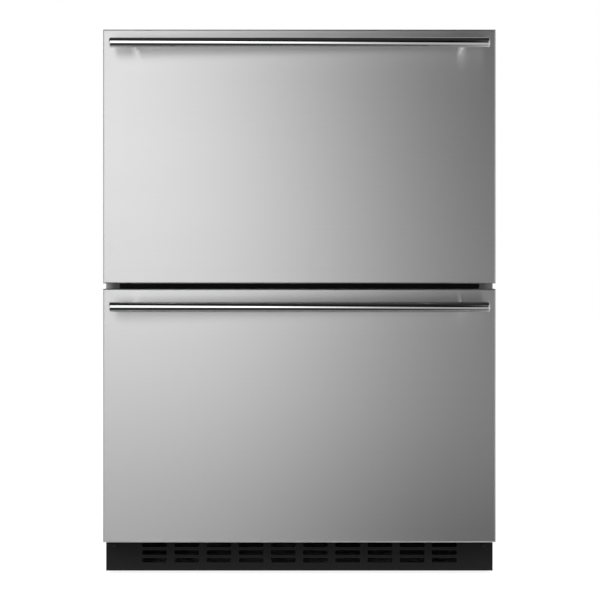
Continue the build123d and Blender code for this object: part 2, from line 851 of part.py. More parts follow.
def evaporator_rotor_y():
    """The middle of the evaporator fan's hub."""
    return cover_front + cover_wall + rotor_front_gap


def evaporator_fan_motor():
    """The fan motor on its bracket against the liner's back wall."""
    back, half = liner_back - bracket_sheet, bracket_height / 2
    motor = rod_y(motor_radius, 0, back - motor_length, back, fan_z)
    motor += rod_y(shaft_radius, 0, evaporator_rotor_y() - shaft_past_hub, back - motor_length, fan_z)
    return motor + block(-bracket_half, bracket_half, back, liner_back, fan_z - half, fan_z + half)


def evaporator_fan_blades():
    """The fan wheel that moves cold air over the drawers."""
    tip_radius = fan_opening_radius - blade_clearance
    rotor = fan_rotor(tip_radius, evaporator_hub_radius, evaporator_hub_length, *evaporator_chords)
    return Pos(0, evaporator_rotor_y(), fan_z) * Rot(90, 0, 0) * rotor


def button_places():
    """The middles of the two buttons along X."""
    return spread(2, button_spacing)


def control_housing():
    """The control box under the upper liner's ceiling, with a display window and button holes."""
    half, wall = control_width / 2, control_wall
    front, back = control_inset, control_inset + control_depth
    housing = block(-half, half, front, back, control_bottom, upper_ceiling)
    inner = half - wall
    housing -= block(-inner, inner, front + wall, back - wall, control_bottom + wall, upper_ceiling)
    z = (control_bottom + upper_ceiling) / 2
    for x in button_places():
        housing -= button_block(x, button_clearance, front, front + wall)
    window_x, window_z = display_width / 2, display_height / 2
    return housing - block(-window_x, window_x, front, front + display_recess, z - window_z, z + window_z)


def button_block(x, grow, y0, y1):
    """A block about a button's axis, larger by grow than the button on each side."""
    half_x, half_z = button_width / 2 + grow, button_height / 2 + grow
    z = (control_bottom + upper_ceiling) / 2
    return block(x - half_x, x + half_x, y0, y1, z - half_z, z + half_z)


def control_button(x):
    """A rectangular key with a skirt that keeps it behind the housing's wall."""
    tip = control_inset - button_proud
    skirt = control_inset + control_wall + button_clearance
    key = button_block(x, 0, tip, tip + button_length)
    key = chamfer(key.faces().sort_by(Axis.Y)[0].edges(), button_edge)
    return key + button_block(x, button_skirt, skirt, skirt + button_skirt_length)


def interior_lamps():
    """Two lamp bars on the ceiling of each compartment."""
    lamps = []
    for ceiling in (upper_ceiling, lower_ceiling):
        for x in (-lamp_offset, lamp_offset):
            x0, x1 = x - lamp_length / 2, x + lamp_length / 2
            lamps.append(block(x0, x1, lamp_inset, lamp_inset + lamp_depth, ceiling - lamp_height, ceiling))
    return group(lamps)


# ---- Levelling feet -----------------------------------------------------------------------------

def foot_places():
    """The middle of each foot."""
    return {
        "front_left": (-foot_x, front_foot_inset), "front_right": (foot_x, front_foot_inset),
        "rear_left": (-foot_x, rear_foot_y), "rear_right": (foot_x, rear_foot_y),
    }


def levelling_foot(x, y):
    """A pad with finger flats, a spanner hexagon and a stud in the base pan's weld nut."""
    hex_top = base_height - thread_clearance
    foot = prism_z(foot_pad_sides, foot_pad, x, y, 0, foot_pad_height)
    foot += hex_z(foot_hex, x, y, foot_pad_height, hex_top)
    return foot + rod_z(foot_stud_radius, x, y, hex_top, base_height + foot_stud_reach)


# ---- Telescopic slides --------------------------------------------------------------------------

def channel(web_x, tip_x, half_height, lip):
    """A rail about z = 0 on the right-hand side: a web at web_x and flanges that reach tip_x."""
    y0, y1 = slide_front, slide_back
    toward = math.copysign(rail_sheet, tip_x - web_x)
    rail = block(min(web_x, tip_x), max(web_x, tip_x), y0, y1, -half_height, half_height)
    inner = half_height - rail_sheet
    rail -= block(min(web_x + toward, tip_x), max(web_x + toward, tip_x), y0, y1, -inner, inner)
    if lip:
        x0, x1 = min(tip_x, tip_x - toward), max(tip_x, tip_x - toward)
        rail += block(x0, x1, y0, y1, inner - lip, inner) + block(x0, x1, y0, y1, -inner, lip - inner)
    return rail


def cabinet_rail():
    """The outer member, on the liner's side wall."""
    return channel(liner_x, frame_out + cabinet_tip_gap, cabinet_rail_height / 2, rail_lip)


def middle_rail():
    """The intermediate member."""
    return channel(middle_web, frame_out + cabinet_tip_gap, middle_rail_half, rail_lip)


def drawer_rail():
    """The inner member, on the drawer's frame."""
    return channel(frame_out, drawer_tip, drawer_rail_half, 0)


# ---- Drawers ------------------------------------------------------------------------------------

def front_block(z0, z1, inset, back):
    """The front's outside with rounded edges, or what lies inset from it."""
    x = side_out - inset
    body = block(-x, x, front_face + inset, back, z0 + inset, z1 - inset)
    return fillet(body.faces().sort_by(Axis.Y)[0].edges(), front_bend - inset)


def front_skin(z0, z1):
    """The folded stainless pan: full-depth sides, short returns at the top and bottom."""
    skin = front_block(z0, z1, 0, front_back) - front_block(z0, z1, sheet, front_back)
    x, y0 = side_out - front_bend, front_face + front_return
    skin -= block(-x, x, y0, front_back, z0, z0 + sheet)
    return skin - block(-x, x, y0, front_back, z1 - sheet, z1)


def plateau_block(opening, grow, back):
    """The raised middle of the inner panel, smaller by grow than its outside."""
    x = liner_x - plateau_clearance - grow
    z0, z1 = opening[0] + plateau_clearance + grow, opening[1] - plateau_clearance - grow
    return block(-x, x, back, plateau_face - grow, z0, z1)


def front_liner(z0, z1, opening):
    """The moulded inner panel with its plateau, and the walls that close the top and bottom."""
    x, y0 = side_out - front_bend, front_face + front_return
    panel_front = front_back - front_wall
    panel = front_block(z0, z1, sheet, front_back) & block(-side_in, side_in, panel_front, front_back, z0, z1)
    panel += plateau_block(opening, 0, front_back)
    panel -= plateau_block(opening, front_wall, panel_front)
    panel += block(-x, x, y0, panel_front, z1 - front_wall, z1)
    return panel + block(-x, x, y0, panel_front, z0, z0 + front_wall)


def front_foam(z0, z1, opening):
    """The foam that fills the front."""
    core = front_block(z0, z1, sheet, front_back) + plateau_block(opening, 0, front_back)
    return core - front_liner(z0, z1, opening)


def gasket(z0, z1):
    """The magnetic seal: a flat base on the inner panel and a narrower bulb on the flanges."""
    x = side_out - gasket_inset

    def ring(inset, y0, y1):
        outer = block(-x + inset, x - inset, y0, y1, z0 + inset, z1 - inset)
        inner_inset = gasket_width - inset
        return outer - block(-x + inner_inset, x - inner_inset, y0, y1, z0 + inner_inset, z1 - inner_inset)

    base_end = front_back + gasket_base
    return ring(0, front_back, base_end) + ring(gasket_bulb_inset, base_end, 0)


def handle_bar(axis_z):
    """The round bar, its ends eased."""
    bar = rod_x(bar_diameter / 2, -bar_half, bar_half, bar_axis, axis_z)
    return chamfer(bar.edges().filter_by(GeomType.CIRCLE), bar_edge)


def handle_posts(axis_z):
    """Two round posts from the front's skin, coped to the bar."""
    post = rod_y(post_diameter / 2, post_x, bar_axis, front_face, axis_z)
    post -= rod_x(bar_diameter / 2 + post_fit, -bar_half, bar_half, bar_axis, axis_z)
    return group([post, left_of(post)])


def drawer_frame(slide_z):
    """The frame under the bin: two side plates with tabs to the inner panel, and a rear crossbar."""
    z0, z1 = slide_z - frame_below_slide, slide_z + rim_above_slide
    side = block(frame_in, frame_out, plateau_face, slide_back, z0, z1)
    side += block(frame_out - frame_tab, frame_out, plateau_face, plateau_face + frame_sheet, z0, z1)
    rear = slide_back - frame_sheet
    crossbar = block(-frame_out, frame_out, rear, slide_back, z1 - crossbar_height, z1)
    return side + left_of(side) + crossbar


def bin_block(back, z0, z1, inset):
    """The bin's outside, or what lies inset from it, its floor folded up by slanted edges."""
    x = bin_half - inset
    body = block(-x, x, bin_front + inset, back - inset, z0 + inset, z1)
    return chamfer(body.faces().sort_by(Axis.Z)[0].edges(), bin_floor_edge)


def rim_block(back, z0, z1):
    """The outside of the bin's rim, filled in."""
    x = bin_half + bin_rim
    return block(-x, x, bin_front - bin_rim, back + bin_rim, z0, z1)


def bin_tray(floor, slide_z, back):
    """The folded steel bin, its rim resting on the frame, with vent slots in its rear wall."""
    z0, rim_z = floor + bin_floor_gap, slide_z + rim_above_slide
    rim_top = rim_z + bin_sheet
    tray = bin_block(back, z0, rim_top, 0) + rim_block(back, rim_z, rim_top)
    tray -= bin_block(back, z0, rim_top, bin_sheet)
    plane = Plane(origin=(0, back, rim_z - vent_slot_drop), x_dir=(1, 0, 0), z_dir=(0, -1, 0))
    slots = Sketch()
    for x in spread(vent_slot_count, vent_slot_pitch):
        slots += Pos(x, 0) * Rectangle(vent_slot_length, vent_slot_height)
    return tray - extrude(plane * slots, amount=bin_sheet)


def divider(floor, slide_z, back):
    """The sliding partition, hung on the bin's rim by a shoe at each end."""
    rim_top = slide_z + rim_above_slide + bin_sheet + divider_clearance
    half, inset = divider_sheet / 2, bin_sheet + divider_clearance
    z0 = floor + bin_floor_gap + bin_sheet + divider_floor_gap
    plate = block(-half, half, bin_front + inset, back - inset, z0, rim_top)
    plate = chamfer(plate.edges().filter_by(Axis.X).sort_by(Axis.Z)[:2], bin_floor_edge)
    shoe_top = rim_top + divider_hook
    for y in (bin_front, back):
        plate += block(-divider_shoe, divider_shoe, y - bin_rim, y + bin_rim, rim_top, shoe_top)
    return plate + block(-half, half, bin_front, back, rim_top, shoe_top)


def save_drawer(side, z0, z1, opening, slide_z, bin_back, gasket_z):
    """Writes the pieces of one drawer and its slides."""
    bar_z = z1 - bar_drop
    save(f"{side}_front_skin", front_skin(z0, z1))
    save(f"{side}_front_foam", front_foam(z0, z1, opening))
    save(f"{side}_front_liner", front_liner(z0, z1, opening))
    save(f"{side}_gasket", gasket(*gasket_z))
    save(f"{side}_handle_bar", handle_bar(bar_z))
    save(f"{side}_handle_posts", handle_posts(bar_z))
    save(f"{side}_drawer_frame", drawer_frame(slide_z))
    save(f"{side}_bin", bin_tray(opening[0], slide_z, bin_back))
    save(f"{side}_divider", divider(opening[0], slide_z, bin_back))
    rails = {"cabinet_rail": cabinet_rail(), "middle_rail": middle_rail(), "drawer_rail": drawer_rail()}
    for name, rail in rails.items():
        rail = Pos(0, 0, slide_z) * rail
        save(f"{side}_right_{name}", rail)
        save(f"{side}_left_{name}", left_of(rail))


def main():
    """Builds and writes every piece."""
    os.makedirs("parts", exist_ok=True)
    pieces = (
        outer_wrapper, back_panel, machine_room_cover, base_pan, deck_plate, foam_insulation,
        upper_liner, lower_liner, mullion_rail, toe_grille, compressor, compressor_grommets,
        condenser_coil, condenser_fan_housing, condenser_fan_blades, drain_pan, power_inlet,
        refrigerant_tubes, evaporator_coil, evaporator_cover, evaporator_fan_motor,
        evaporator_fan_blades, control_housing, interior_lamps,
    )
    for piece in pieces:
        save(piece.__name__, piece())
    for name, x in zip(("control_button_down", "control_button_up"), button_places()):
        save(name, control_button(x))
    for name, (x, y) in foot_places().items():
        save(f"foot_{name}", levelling_foot(x, y))
    save_drawer(
        "lower", front_bottom, lower_front_top, (lower_floor, lower_ceiling), lower_slide_z,
        lower_bin_back, (channel_top + sill_gasket_rise, lower_front_top - gasket_inset),
    )
    save_drawer(
        "upper", upper_front_bottom, upper_front_top, (upper_floor, upper_ceiling), upper_slide_z,
        upper_bin_back, (upper_front_bottom + gasket_inset, cabinet_top - gasket_inset),
    )


if __name__ == "__main__":
    main()
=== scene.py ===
"""Looks of the undercounter drawer refrigerator.

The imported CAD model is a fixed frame. Turned, swept and pressed pieces replace or join some of its nodes,
every surface gets a procedural finish, and a plain studio holds the camera and lamps. All lengths are metres.
The fronts face -Y, the floor is z = 0, and x = 0 is the middle of the cabinet.
"""

import json
import logging
import math
from dataclasses import asdict, dataclass, field
from enum import StrEnum, auto
from typing import Sequence

import bmesh
import bpy
from mathutils import Matrix, Vector


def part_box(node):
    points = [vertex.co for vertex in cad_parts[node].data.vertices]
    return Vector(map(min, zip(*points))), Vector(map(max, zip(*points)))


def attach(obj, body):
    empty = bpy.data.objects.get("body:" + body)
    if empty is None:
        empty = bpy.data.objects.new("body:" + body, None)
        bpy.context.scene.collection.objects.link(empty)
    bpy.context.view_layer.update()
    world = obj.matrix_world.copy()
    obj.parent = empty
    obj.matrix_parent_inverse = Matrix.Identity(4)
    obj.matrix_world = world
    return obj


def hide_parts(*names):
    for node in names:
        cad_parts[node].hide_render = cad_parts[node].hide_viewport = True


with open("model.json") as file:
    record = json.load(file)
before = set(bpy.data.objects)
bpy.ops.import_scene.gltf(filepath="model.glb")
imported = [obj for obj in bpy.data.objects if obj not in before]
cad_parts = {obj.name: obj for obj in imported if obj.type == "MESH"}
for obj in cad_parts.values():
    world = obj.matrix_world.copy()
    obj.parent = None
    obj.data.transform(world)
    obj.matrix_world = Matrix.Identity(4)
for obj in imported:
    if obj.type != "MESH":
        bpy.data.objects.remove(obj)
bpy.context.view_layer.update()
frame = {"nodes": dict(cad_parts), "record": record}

log = logging.getLogger("refrigerator")

Material, Mesh, Node = bpy.types.Material, bpy.types.Mesh, bpy.types.Node
Socket, Object, Tree = bpy.types.NodeSocket, bpy.types.Object, bpy.types.NodeTree
Triple = tuple[float, float, float]
Pair = tuple[float, float]
Ring = Sequence[Triple]
CREASE = math.radians(32)
UPRIGHT = (math.pi / 2, 0.0, 0.0)


class Side(StrEnum):
    """The two drawers."""

    UPPER = auto()
    LOWER = auto()


class Slot(StrEnum):
    """The record's material slots."""

    STAINLESS = auto()
    CABINET_PAINT = auto()
    BLACK_PAINT = auto()
    GALVANISED = auto()
    INSULATION = auto()
    LINER_PLASTIC = auto()
    DARK_PLASTIC = auto()
    SEAL_RUBBER = auto()
    COMPRESSOR_PAINT = auto()
    ALUMINIUM_FINS = auto()
    COPPER_TUBE = auto()
    LAMP_LENS = auto()
    DIVIDER_PLASTIC = auto()
    ZINC_PLATE = auto()


# ---- Node trees ----

class Graph:
    """A node tree that is being wired."""

    def __init__(self, tree: Tree) -> None:
        """Empties the tree and notes its family of nodes.

        Args:
            tree: The tree.
        """
        self.tree = tree
        self.family = tree.bl_idname.removesuffix("Tree")
        tree.nodes.clear()

    def feed(self, socket: Socket, value: object) -> None:
        """Gives an input a plain value, or joins it to the output that the value comes from.

        Args:
            socket: The input.
            value: The value or the output.
        """
        if isinstance(value, Socket):
            self.tree.links.new(value, socket)
        else:
            socket.default_value = value

    def node(self, kind: str, *values: object, **named: object) -> Node:
        """Adds one node.

        Args:
            kind: Its type, without its family.
            values: What its first inputs get, in order.
            named: Other inputs, with a capital and underscores for spaces, and settings in small letters.

        Returns:
            The new node.
        """
        made = self.tree.nodes.new(kind if kind.startswith("NodeGroup") else self.family + kind)
        for key, value in named.items():
            if key[0].islower():
                setattr(made, key, value)
        for number, value in enumerate(values):
            self.feed(made.inputs[number], value)
        for key, value in named.items():
            if key[0].isupper():
                self.feed(made.inputs[key.replace("_", " ")], value)
        return made

    def place(self) -> Socket:
        """Returns the object's own coordinates."""
        return self.node("TexCoord").outputs["Object"]

    def maths(self, operation: str, *values: object) -> Socket:
        """Returns what a Math node works out."""
        return self.node("Math", *values, operation=operation).outputs[0]

    def weighed(self, first: object, second: object, share: float) -> Socket:
        """Returns a sum of two values in which the first has a given share of the weight."""
        rest = self.maths("MULTIPLY", second, 1 - share)
        return self.maths("MULTIPLY_ADD", first, share, rest)

    def scaled(self, vector: Socket, factor: object) -> Socket:
        """Returns a vector multiplied by another, part by part."""
        return self.node("VectorMath", vector, factor, operation="MULTIPLY").outputs[0]

    def between(self, mask: object, low: object, high: object) -> Socket:
        """Returns a mask of 0 to 1 spread from low to high."""
        return self.node("MapRange", mask, To_Min=low, To_Max=high).outputs[0]

    def window(self, value: object, start: float, end: float) -> Socket:
        """Returns a mask that eases from 0, where the value is at start, to 1 at end."""
        return self.node("MapRange", value, start, end, interpolation_type="SMOOTHSTEP").outputs[0]

    def blended(self, mask: object, first: object, second: object) -> Socket:
        """Mixes two colours.

        Args:
            mask: 0 for the first colour and 1 for the second.
            first: A colour of four numbers, or its socket.
            second: A colour of four numbers, or its socket.

        Returns:
            The mixed colour's socket.
        """
        mixer = self.node("Mix", mask, data_type="RGBA")
        self.feed(mixer.inputs[6], first)
        self.feed(mixer.inputs[7], second)
        return mixer.outputs[2]


SOCKET_KINDS = {float: "Float", int: "Int", tuple: "Vector"}


def new_group(name: str, inputs: dict[str, object],
              *outputs: str) -> tuple[Tree, Graph, bpy.types.NodeOutputs, Node]:
    """Starts a node group with its sockets, for shaders unless it takes geometry.

    Args:
        name: The group's name.
        inputs: The first value of each input, or its kind of socket where it has none, by name.
        outputs: The outputs' names.

    Returns:
        The group, its graph, the sockets of what it is given, and the node that its outputs go to.
    """
    family = "Geometry" if "Geometry" in inputs else "Shader"
    group = bpy.data.node_groups.new(name, family + "NodeTree")
    graph = Graph(group)
    for label, first in inputs.items():
        kind = SOCKET_KINDS.get(type(first), first)
        made = group.interface.new_socket(name=label, in_out="INPUT", socket_type="NodeSocket" + kind)
        if kind != first:
            made.default_value = first
    for label in outputs:
        kind = label if label == "Geometry" else "Float"
        group.interface.new_socket(name=label, in_out="OUTPUT", socket_type="NodeSocket" + kind)
    return group, graph, graph.node("NodeGroupInput").outputs, graph.node("NodeGroupOutput")


def new_material(name: str) -> tuple[Material, Graph]:
    """Starts a material.

    Args:
        name: The material's name.

    Returns:
        The material and its empty graph.
    """
    made = bpy.data.materials.new(name)
    made.use_nodes = True
    return made, Graph(made.node_tree)


# ---- Effects that finishes share ----

class Effects:
    """Shader groups that put out masks over the surface, all read at the object's own coordinates."""

    FINE_SHARE = 0.55
    CLOUD_EDGES = (0.3, 0.7)
    WARP_SCALE = 60.0
    WARP_REACH = (0.012, 0.012, 0.012)
    FEATHER = (900.0, 260.0, 420.0)
    PEBBLE_SHARE = 0.6
    PEBBLE_BLEND = 0.6

    def __init__(self) -> None:
        """Builds every group once."""
        self.streaks = self._streaks()
        self.mottle = self._mottle()
        self.spangle = self._spangle()
        self.peel = self._peel()
        self.ribs = self._ribs()

    def _streaks(self) -> Tree:
        """Makes brushed grain: long fine lines, with broader and fainter ones among them.

        Returns:
            The group.
        """
        inputs = {"Stretch": (8.0, 8.0, 2400.0), "Broad": 0.12}
        group, graph, given, end = new_group("brushed_grain", inputs, "Mask")
        fine = graph.scaled(graph.place(), given["Stretch"])
        broad = graph.scaled(fine, given["Broad"])
        lines = graph.node("TexNoise", Vector=fine, Scale=1.0, Detail=3.0).outputs[0]
        bands = graph.node("TexNoise", Vector=broad, Scale=1.0, Detail=2.0).outputs[0]
        graph.feed(end.inputs[0], graph.weighed(lines, bands, self.FINE_SHARE))
        return group

    def _mottle(self) -> Tree:
        """Makes soft clouds, for colour and gloss that are never quite even.

        Returns:
            The group.
        """
        group, graph, given, end = new_group("soft_mottle", {"Scale": 12.0, "Detail": 3.0}, "Mask")
        cloud = graph.node("TexNoise", Vector=graph.place(), Scale=given["Scale"], Detail=given["Detail"])
        graph.feed(end.inputs[0], graph.window(cloud.outputs[0], *self.CLOUD_EDGES))
        return group

    def _spangle(self) -> Tree:
        """Makes zinc crystals: one value for each cell, and its feathered grain.

        Returns:
            The group.
        """
        group, graph, given, end = new_group("zinc_spangle", {"Scale": 90.0}, "Cell", "Grain")
        place = graph.place()
        warp = graph.node("TexNoise", Vector=place, Scale=self.WARP_SCALE, Detail=2.0).outputs["Color"]
        bent = graph.scaled(warp, self.WARP_REACH)
        moved = graph.node("VectorMath", place, bent, operation="ADD").outputs[0]
        cells = graph.node("TexVoronoi", Vector=moved, Scale=given["Scale"])
        grain = graph.node("TexNoise", Vector=graph.scaled(moved, self.FEATHER), Scale=1.0, Detail=2.0)
        graph.feed(end.inputs[0], graph.node("SeparateColor", cells.outputs["Color"]).outputs[0])
        graph.feed(end.inputs[1], grain.outputs[0])
        return group

    def _peel(self) -> Tree:
        """Makes the pebbled skin of paint, moulded plastic and rubber.

        Returns:
            The group.
        """
        group, graph, given, end = new_group("pebbled_skin", {"Scale": 900.0}, "Height")
        place, scale = graph.place(), given["Scale"]
        pebbles = graph.node("TexVoronoi", Vector=place, Scale=scale, Smoothness=self.PEBBLE_BLEND,
                             feature="SMOOTH_F1").outputs["Distance"]
        waves = graph.node("TexNoise", Vector=place, Scale=scale, Detail=1.0).outputs[0]
        graph.feed(end.inputs[0], graph.weighed(pebbles, waves, self.PEBBLE_SHARE))
        return group

    def _ribs(self) -> Tree:
        """Makes parallel ribs, as rounded ridges along one direction.

        Returns:
            The group.
        """
        inputs = {"Across": (1.0, 0.0, 0.0), "Pitch": 0.002}
        group, graph, given, end = new_group("parallel_ribs", inputs, "Height")
        across = graph.node("VectorMath", graph.place(), given["Across"], operation="DOT_PRODUCT")
        turns = graph.maths("DIVIDE", across.outputs["Value"], given["Pitch"])
        wave = graph.maths("SINE", graph.maths("MULTIPLY", turns, math.tau))
        graph.feed(end.inputs[0], graph.maths("MULTIPLY_ADD", wave, 0.5, 0.5))
        return group


# ---- Finishes ----

class Coat:
    """A finish's material, which is wired round one Principled BSDF."""

    def __init__(self, finish: "Finish", effects: Effects) -> None:
        """Starts the material with its shader, and lets the finish dress it.

        Args:
            finish: The finish.
            effects: The shared shader groups.
        """
        self.finish, self.effects = finish, effects
        self.material, self.graph = new_material(finish.name)
        self.material.diffuse_color = (*finish.tone, 1.0)
        self.shader = self.graph.node("BsdfPrincipled")
        self.graph.node("OutputMaterial", self.shader.outputs[0])
        self.constants(Metallic=finish.metallic, Specular_IOR_Level=finish.specular)
        finish.dress(self)

    def constants(self, **values: object) -> None:
        """Sets inputs of the shader, by names with underscores for spaces."""
        for name, value in values.items():
            self.shader.inputs[name.replace("_", " ")].default_value = value

    def effect(self, group: Tree, **values: object) -> bpy.types.NodeOutputs:
        """Returns the outputs of a shared group that is placed with these inputs."""
        return self.graph.node("Group", node_tree=group, **values).outputs

    def cloud(self, **values: object) -> Socket:
        """Returns the finish's soft clouds."""
        return self.effect(self.effects.mottle, Scale=self.finish.mottle_scale, **values)["Mask"]

    def skin(self) -> Socket:
        """Returns the height of the finish's pebbled skin."""
        return self.effect(self.effects.peel, Scale=self.finish.skin_scale)["Height"]

    def tint(self, mask: object, first: Sequence[float], second: Sequence[float]) -> None:
        """Lets the colour go from the first to the second with a mask."""
        self.graph.feed(self.shader.inputs["Base Color"], self.graph.blended(mask, first, second))

    def colour(self, mask: object) -> None:
        """Lets the tone drift with a mask, as far as the finish says."""
        spread = self.finish.tone_spread
        self.tint(mask, self.finish.shade(-spread), self.finish.shade(spread))

    def gloss(self, mask: object) -> None:
        """Lets the roughness drift with a mask, as far as the finish says."""
        low, high = (self.finish.roughness + self.finish.gloss_spread * way for way in (-1, 1))
        self.graph.feed(self.shader.inputs["Roughness"], self.graph.between(mask, low, high))

    def relief(self, height: object, depth: float) -> None:
        """Raises the surface by a map of 0 to 1, which spans a depth in metres."""
        bump = self.graph.node("Bump", Height=height, Distance=depth, Strength=1.0)
        self.graph.feed(self.shader.inputs["Normal"], bump.outputs[0])


@dataclass(frozen=True)
class Finish:
    """A plain painted or moulded surface, and what the other finishes add to."""

    name: str
    tone: Triple
    roughness: float
    metallic: float = 0.0
    specular: float = 0.5
    tone_spread: float = 0.04
    gloss_spread: float = 0.05
    mottle_scale: float = 9.0
    skin_scale: float = 900.0
    skin_depth: float = 0.00003

    def shade(self, share: float) -> tuple[float, float, float, float]:
        """Returns the tone made lighter or darker by a share of itself."""
        red, green, blue = (min(1.0, part * (1 + share)) for part in self.tone)
        return (red, green, blue, 1.0)

    def dress(self, coat: Coat) -> None:
        """Wires a skin whose colour and gloss drift a little.

        Args:
            coat: The material.
        """
        cloud = coat.cloud()
        coat.colour(cloud)
        coat.gloss(cloud)
        coat.relief(coat.skin(), self.skin_depth)


@dataclass(frozen=True)
class BrushedMetal(Finish):
    """Metal with a grain: fine scratches that draw each highlight out across themselves."""

    metallic: float = 1.0
    tone_spread: float = 0.03
    gloss_spread: float = 0.03
    stretch: Triple = (8.0, 8.0, 2400.0)
    grain_depth: float = 0.000004
    anisotropy: float = 0.9
    turn: float = 0.25

    def dress(self, coat: Coat) -> None:
        """Wires the grain into the tone, the gloss and the surface.

        Args:
            coat: The material.
        """
        coat.constants(Anisotropic=self.anisotropy, Anisotropic_Rotation=self.turn)
        grain = coat.effect(coat.effects.streaks, Stretch=self.stretch)["Mask"]
        coat.colour(grain)
        coat.gloss(grain)
        coat.relief(grain, self.grain_depth)


@dataclass(frozen=True)
class ZincCoat(Finish):
    """Galvanised sheet, with crystals that differ in tone and gloss."""

    metallic: float = 1.0
    cell_scale: float = 90.0
    cell_share: float = 0.5
    grain_share: float = 0.35
    cloud_share: float = 0.15
    tone_spread: float = 0.16
    gloss_spread: float = 0.11

    def dress(self, coat: Coat) -> None:
        """Wires the crystals.

        Args:
            coat: The material.
        """
        zinc, maths = coat.effect(coat.effects.spangle, Scale=self.cell_scale), coat.graph.maths
        tone = maths("MULTIPLY_ADD", zinc["Cell"], self.cell_share,
                     maths("MULTIPLY", zinc["Grain"], self.grain_share))
        coat.colour(maths("MULTIPLY_ADD", coat.cloud(), self.cloud_share, tone))
        coat.gloss(zinc["Cell"])
        coat.relief(zinc["Grain"], self.skin_depth)


@dataclass(frozen=True)
class FinStock(Finish):
    """Thin aluminium fins, drawn as close ribs between the thicker ones."""

    metallic: float = 1.0
    across: Triple = (1.0, 0.0, 0.0)
    pitch: float = 0.0024
    fin_depth: float = 0.0006
    fin_edges: Pair = (0.15, 0.7)
    shades: Pair = (-0.6, 0.05)

    def dress(self, coat: Coat) -> None:
        """Wires the ribs, with painted shade between the fins.

        Args:
            coat: The material.
        """
        fins = coat.effect(coat.effects.ribs, Across=self.across, Pitch=self.pitch)["Height"]
        # Painted shade: the gaps between the fins are tinted far darker than the fins themselves.
        coat.tint(coat.graph.window(fins, *self.fin_edges), *(self.shade(share) for share in self.shades))
        coat.gloss(coat.cloud())
        coat.relief(fins, self.fin_depth)


@dataclass(frozen=True)
class TarnishedTube(Finish):
    """Drawn copper tube, bright in places and brown in others."""

    metallic: float = 1.0
    brown: Triple = (0.3, 0.13, 0.07)
    mottle_scale: float = 28.0
    patch_detail: float = 5.0
    patch_edges: Pair = (0.45, 1.0)

    def dress(self, coat: Coat) -> None:
        """Wires the tarnish.

        Args:
            coat: The material.
        """
        cloud = coat.cloud(Detail=self.patch_detail)
        coat.tint(coat.graph.window(cloud, *self.patch_edges), self.shade(0.0), (*self.brown, 1.0))
        coat.gloss(cloud)
        coat.relief(coat.skin(), self.skin_depth)


@dataclass(frozen=True)
class ClearPlastic(Finish):
    """Plastic that light goes through, frosted by its roughness."""

    transmission: float = 0.8
    refraction: float = 1.49
    glow: float = 0.0
    rib_pitch: float = 0.0
    rib_across: Triple = (1.0, 0.0, 0.0)
    rib_steepness: float = 0.25

    def dress(self, coat: Coat) -> None:
        """Wires the plain skin, the light through it, and ribs where it has them.

        Args:
            coat: The material.
        """
        super().dress(coat)
        coat.constants(Transmission_Weight=self.transmission, IOR=self.refraction,
                       Emission_Color=self.shade(0.0), Emission_Strength=self.glow)
        if self.rib_pitch:
            ribs = coat.effect(coat.effects.ribs, Across=self.rib_across, Pitch=self.rib_pitch)
            coat.relief(ribs["Height"], self.rib_pitch * self.rib_steepness)


@dataclass(frozen=True)
class CutFoam(Finish):
    """Poured foam with fine open cells and a darker skin in patches."""

    tone_spread: float = 0.12

    def dress(self, coat: Coat) -> None:
        """Wires the cells and the patches.

        Args:
            coat: The material.
        """
        cells = coat.skin()
        coat.colour(coat.graph.maths("MULTIPLY", coat.cloud(), cells))
        coat.gloss(cells)
        coat.relief(cells, self.skin_depth)


PANEL_STEEL = BrushedMetal("brushed_panel_steel", (0.70, 0.70, 0.70), 0.34)
BAR_STEEL = BrushedMetal("polished_bar_steel", (0.78, 0.78, 0.78), 0.07, anisotropy=0.3, turn=0.0,
                         stretch=(10.0, 900.0, 900.0), tone_spread=0.02, gloss_spread=0.02)
BIN_STEEL = BrushedMetal("drawer_bin_steel", (0.62, 0.63, 0.64), 0.36, stretch=(14.0, 14.0, 1500.0))
SCREW_STEEL = Finish("screw_steel", (0.46, 0.46, 0.46), 0.34, metallic=1.0, skin_scale=1600.0)
DARK_SCREW = Finish("blackened_screw", (0.012, 0.012, 0.012), 0.5, specular=0.25, skin_scale=1600.0)
BALL_STEEL = Finish("bearing_steel", (0.6, 0.6, 0.61), 0.14, metallic=1.0, skin_depth=0.0)
ZINC_SHEET = ZincCoat("galvanised_sheet", (0.47, 0.48, 0.49), 0.42, skin_depth=0.00001)
SEAL_RUBBER = Finish("seal_rubber", (0.05, 0.05, 0.05), 0.66, specular=0.3, tone_spread=0.2,
                     mottle_scale=40.0, skin_scale=2200.0, skin_depth=0.00002)

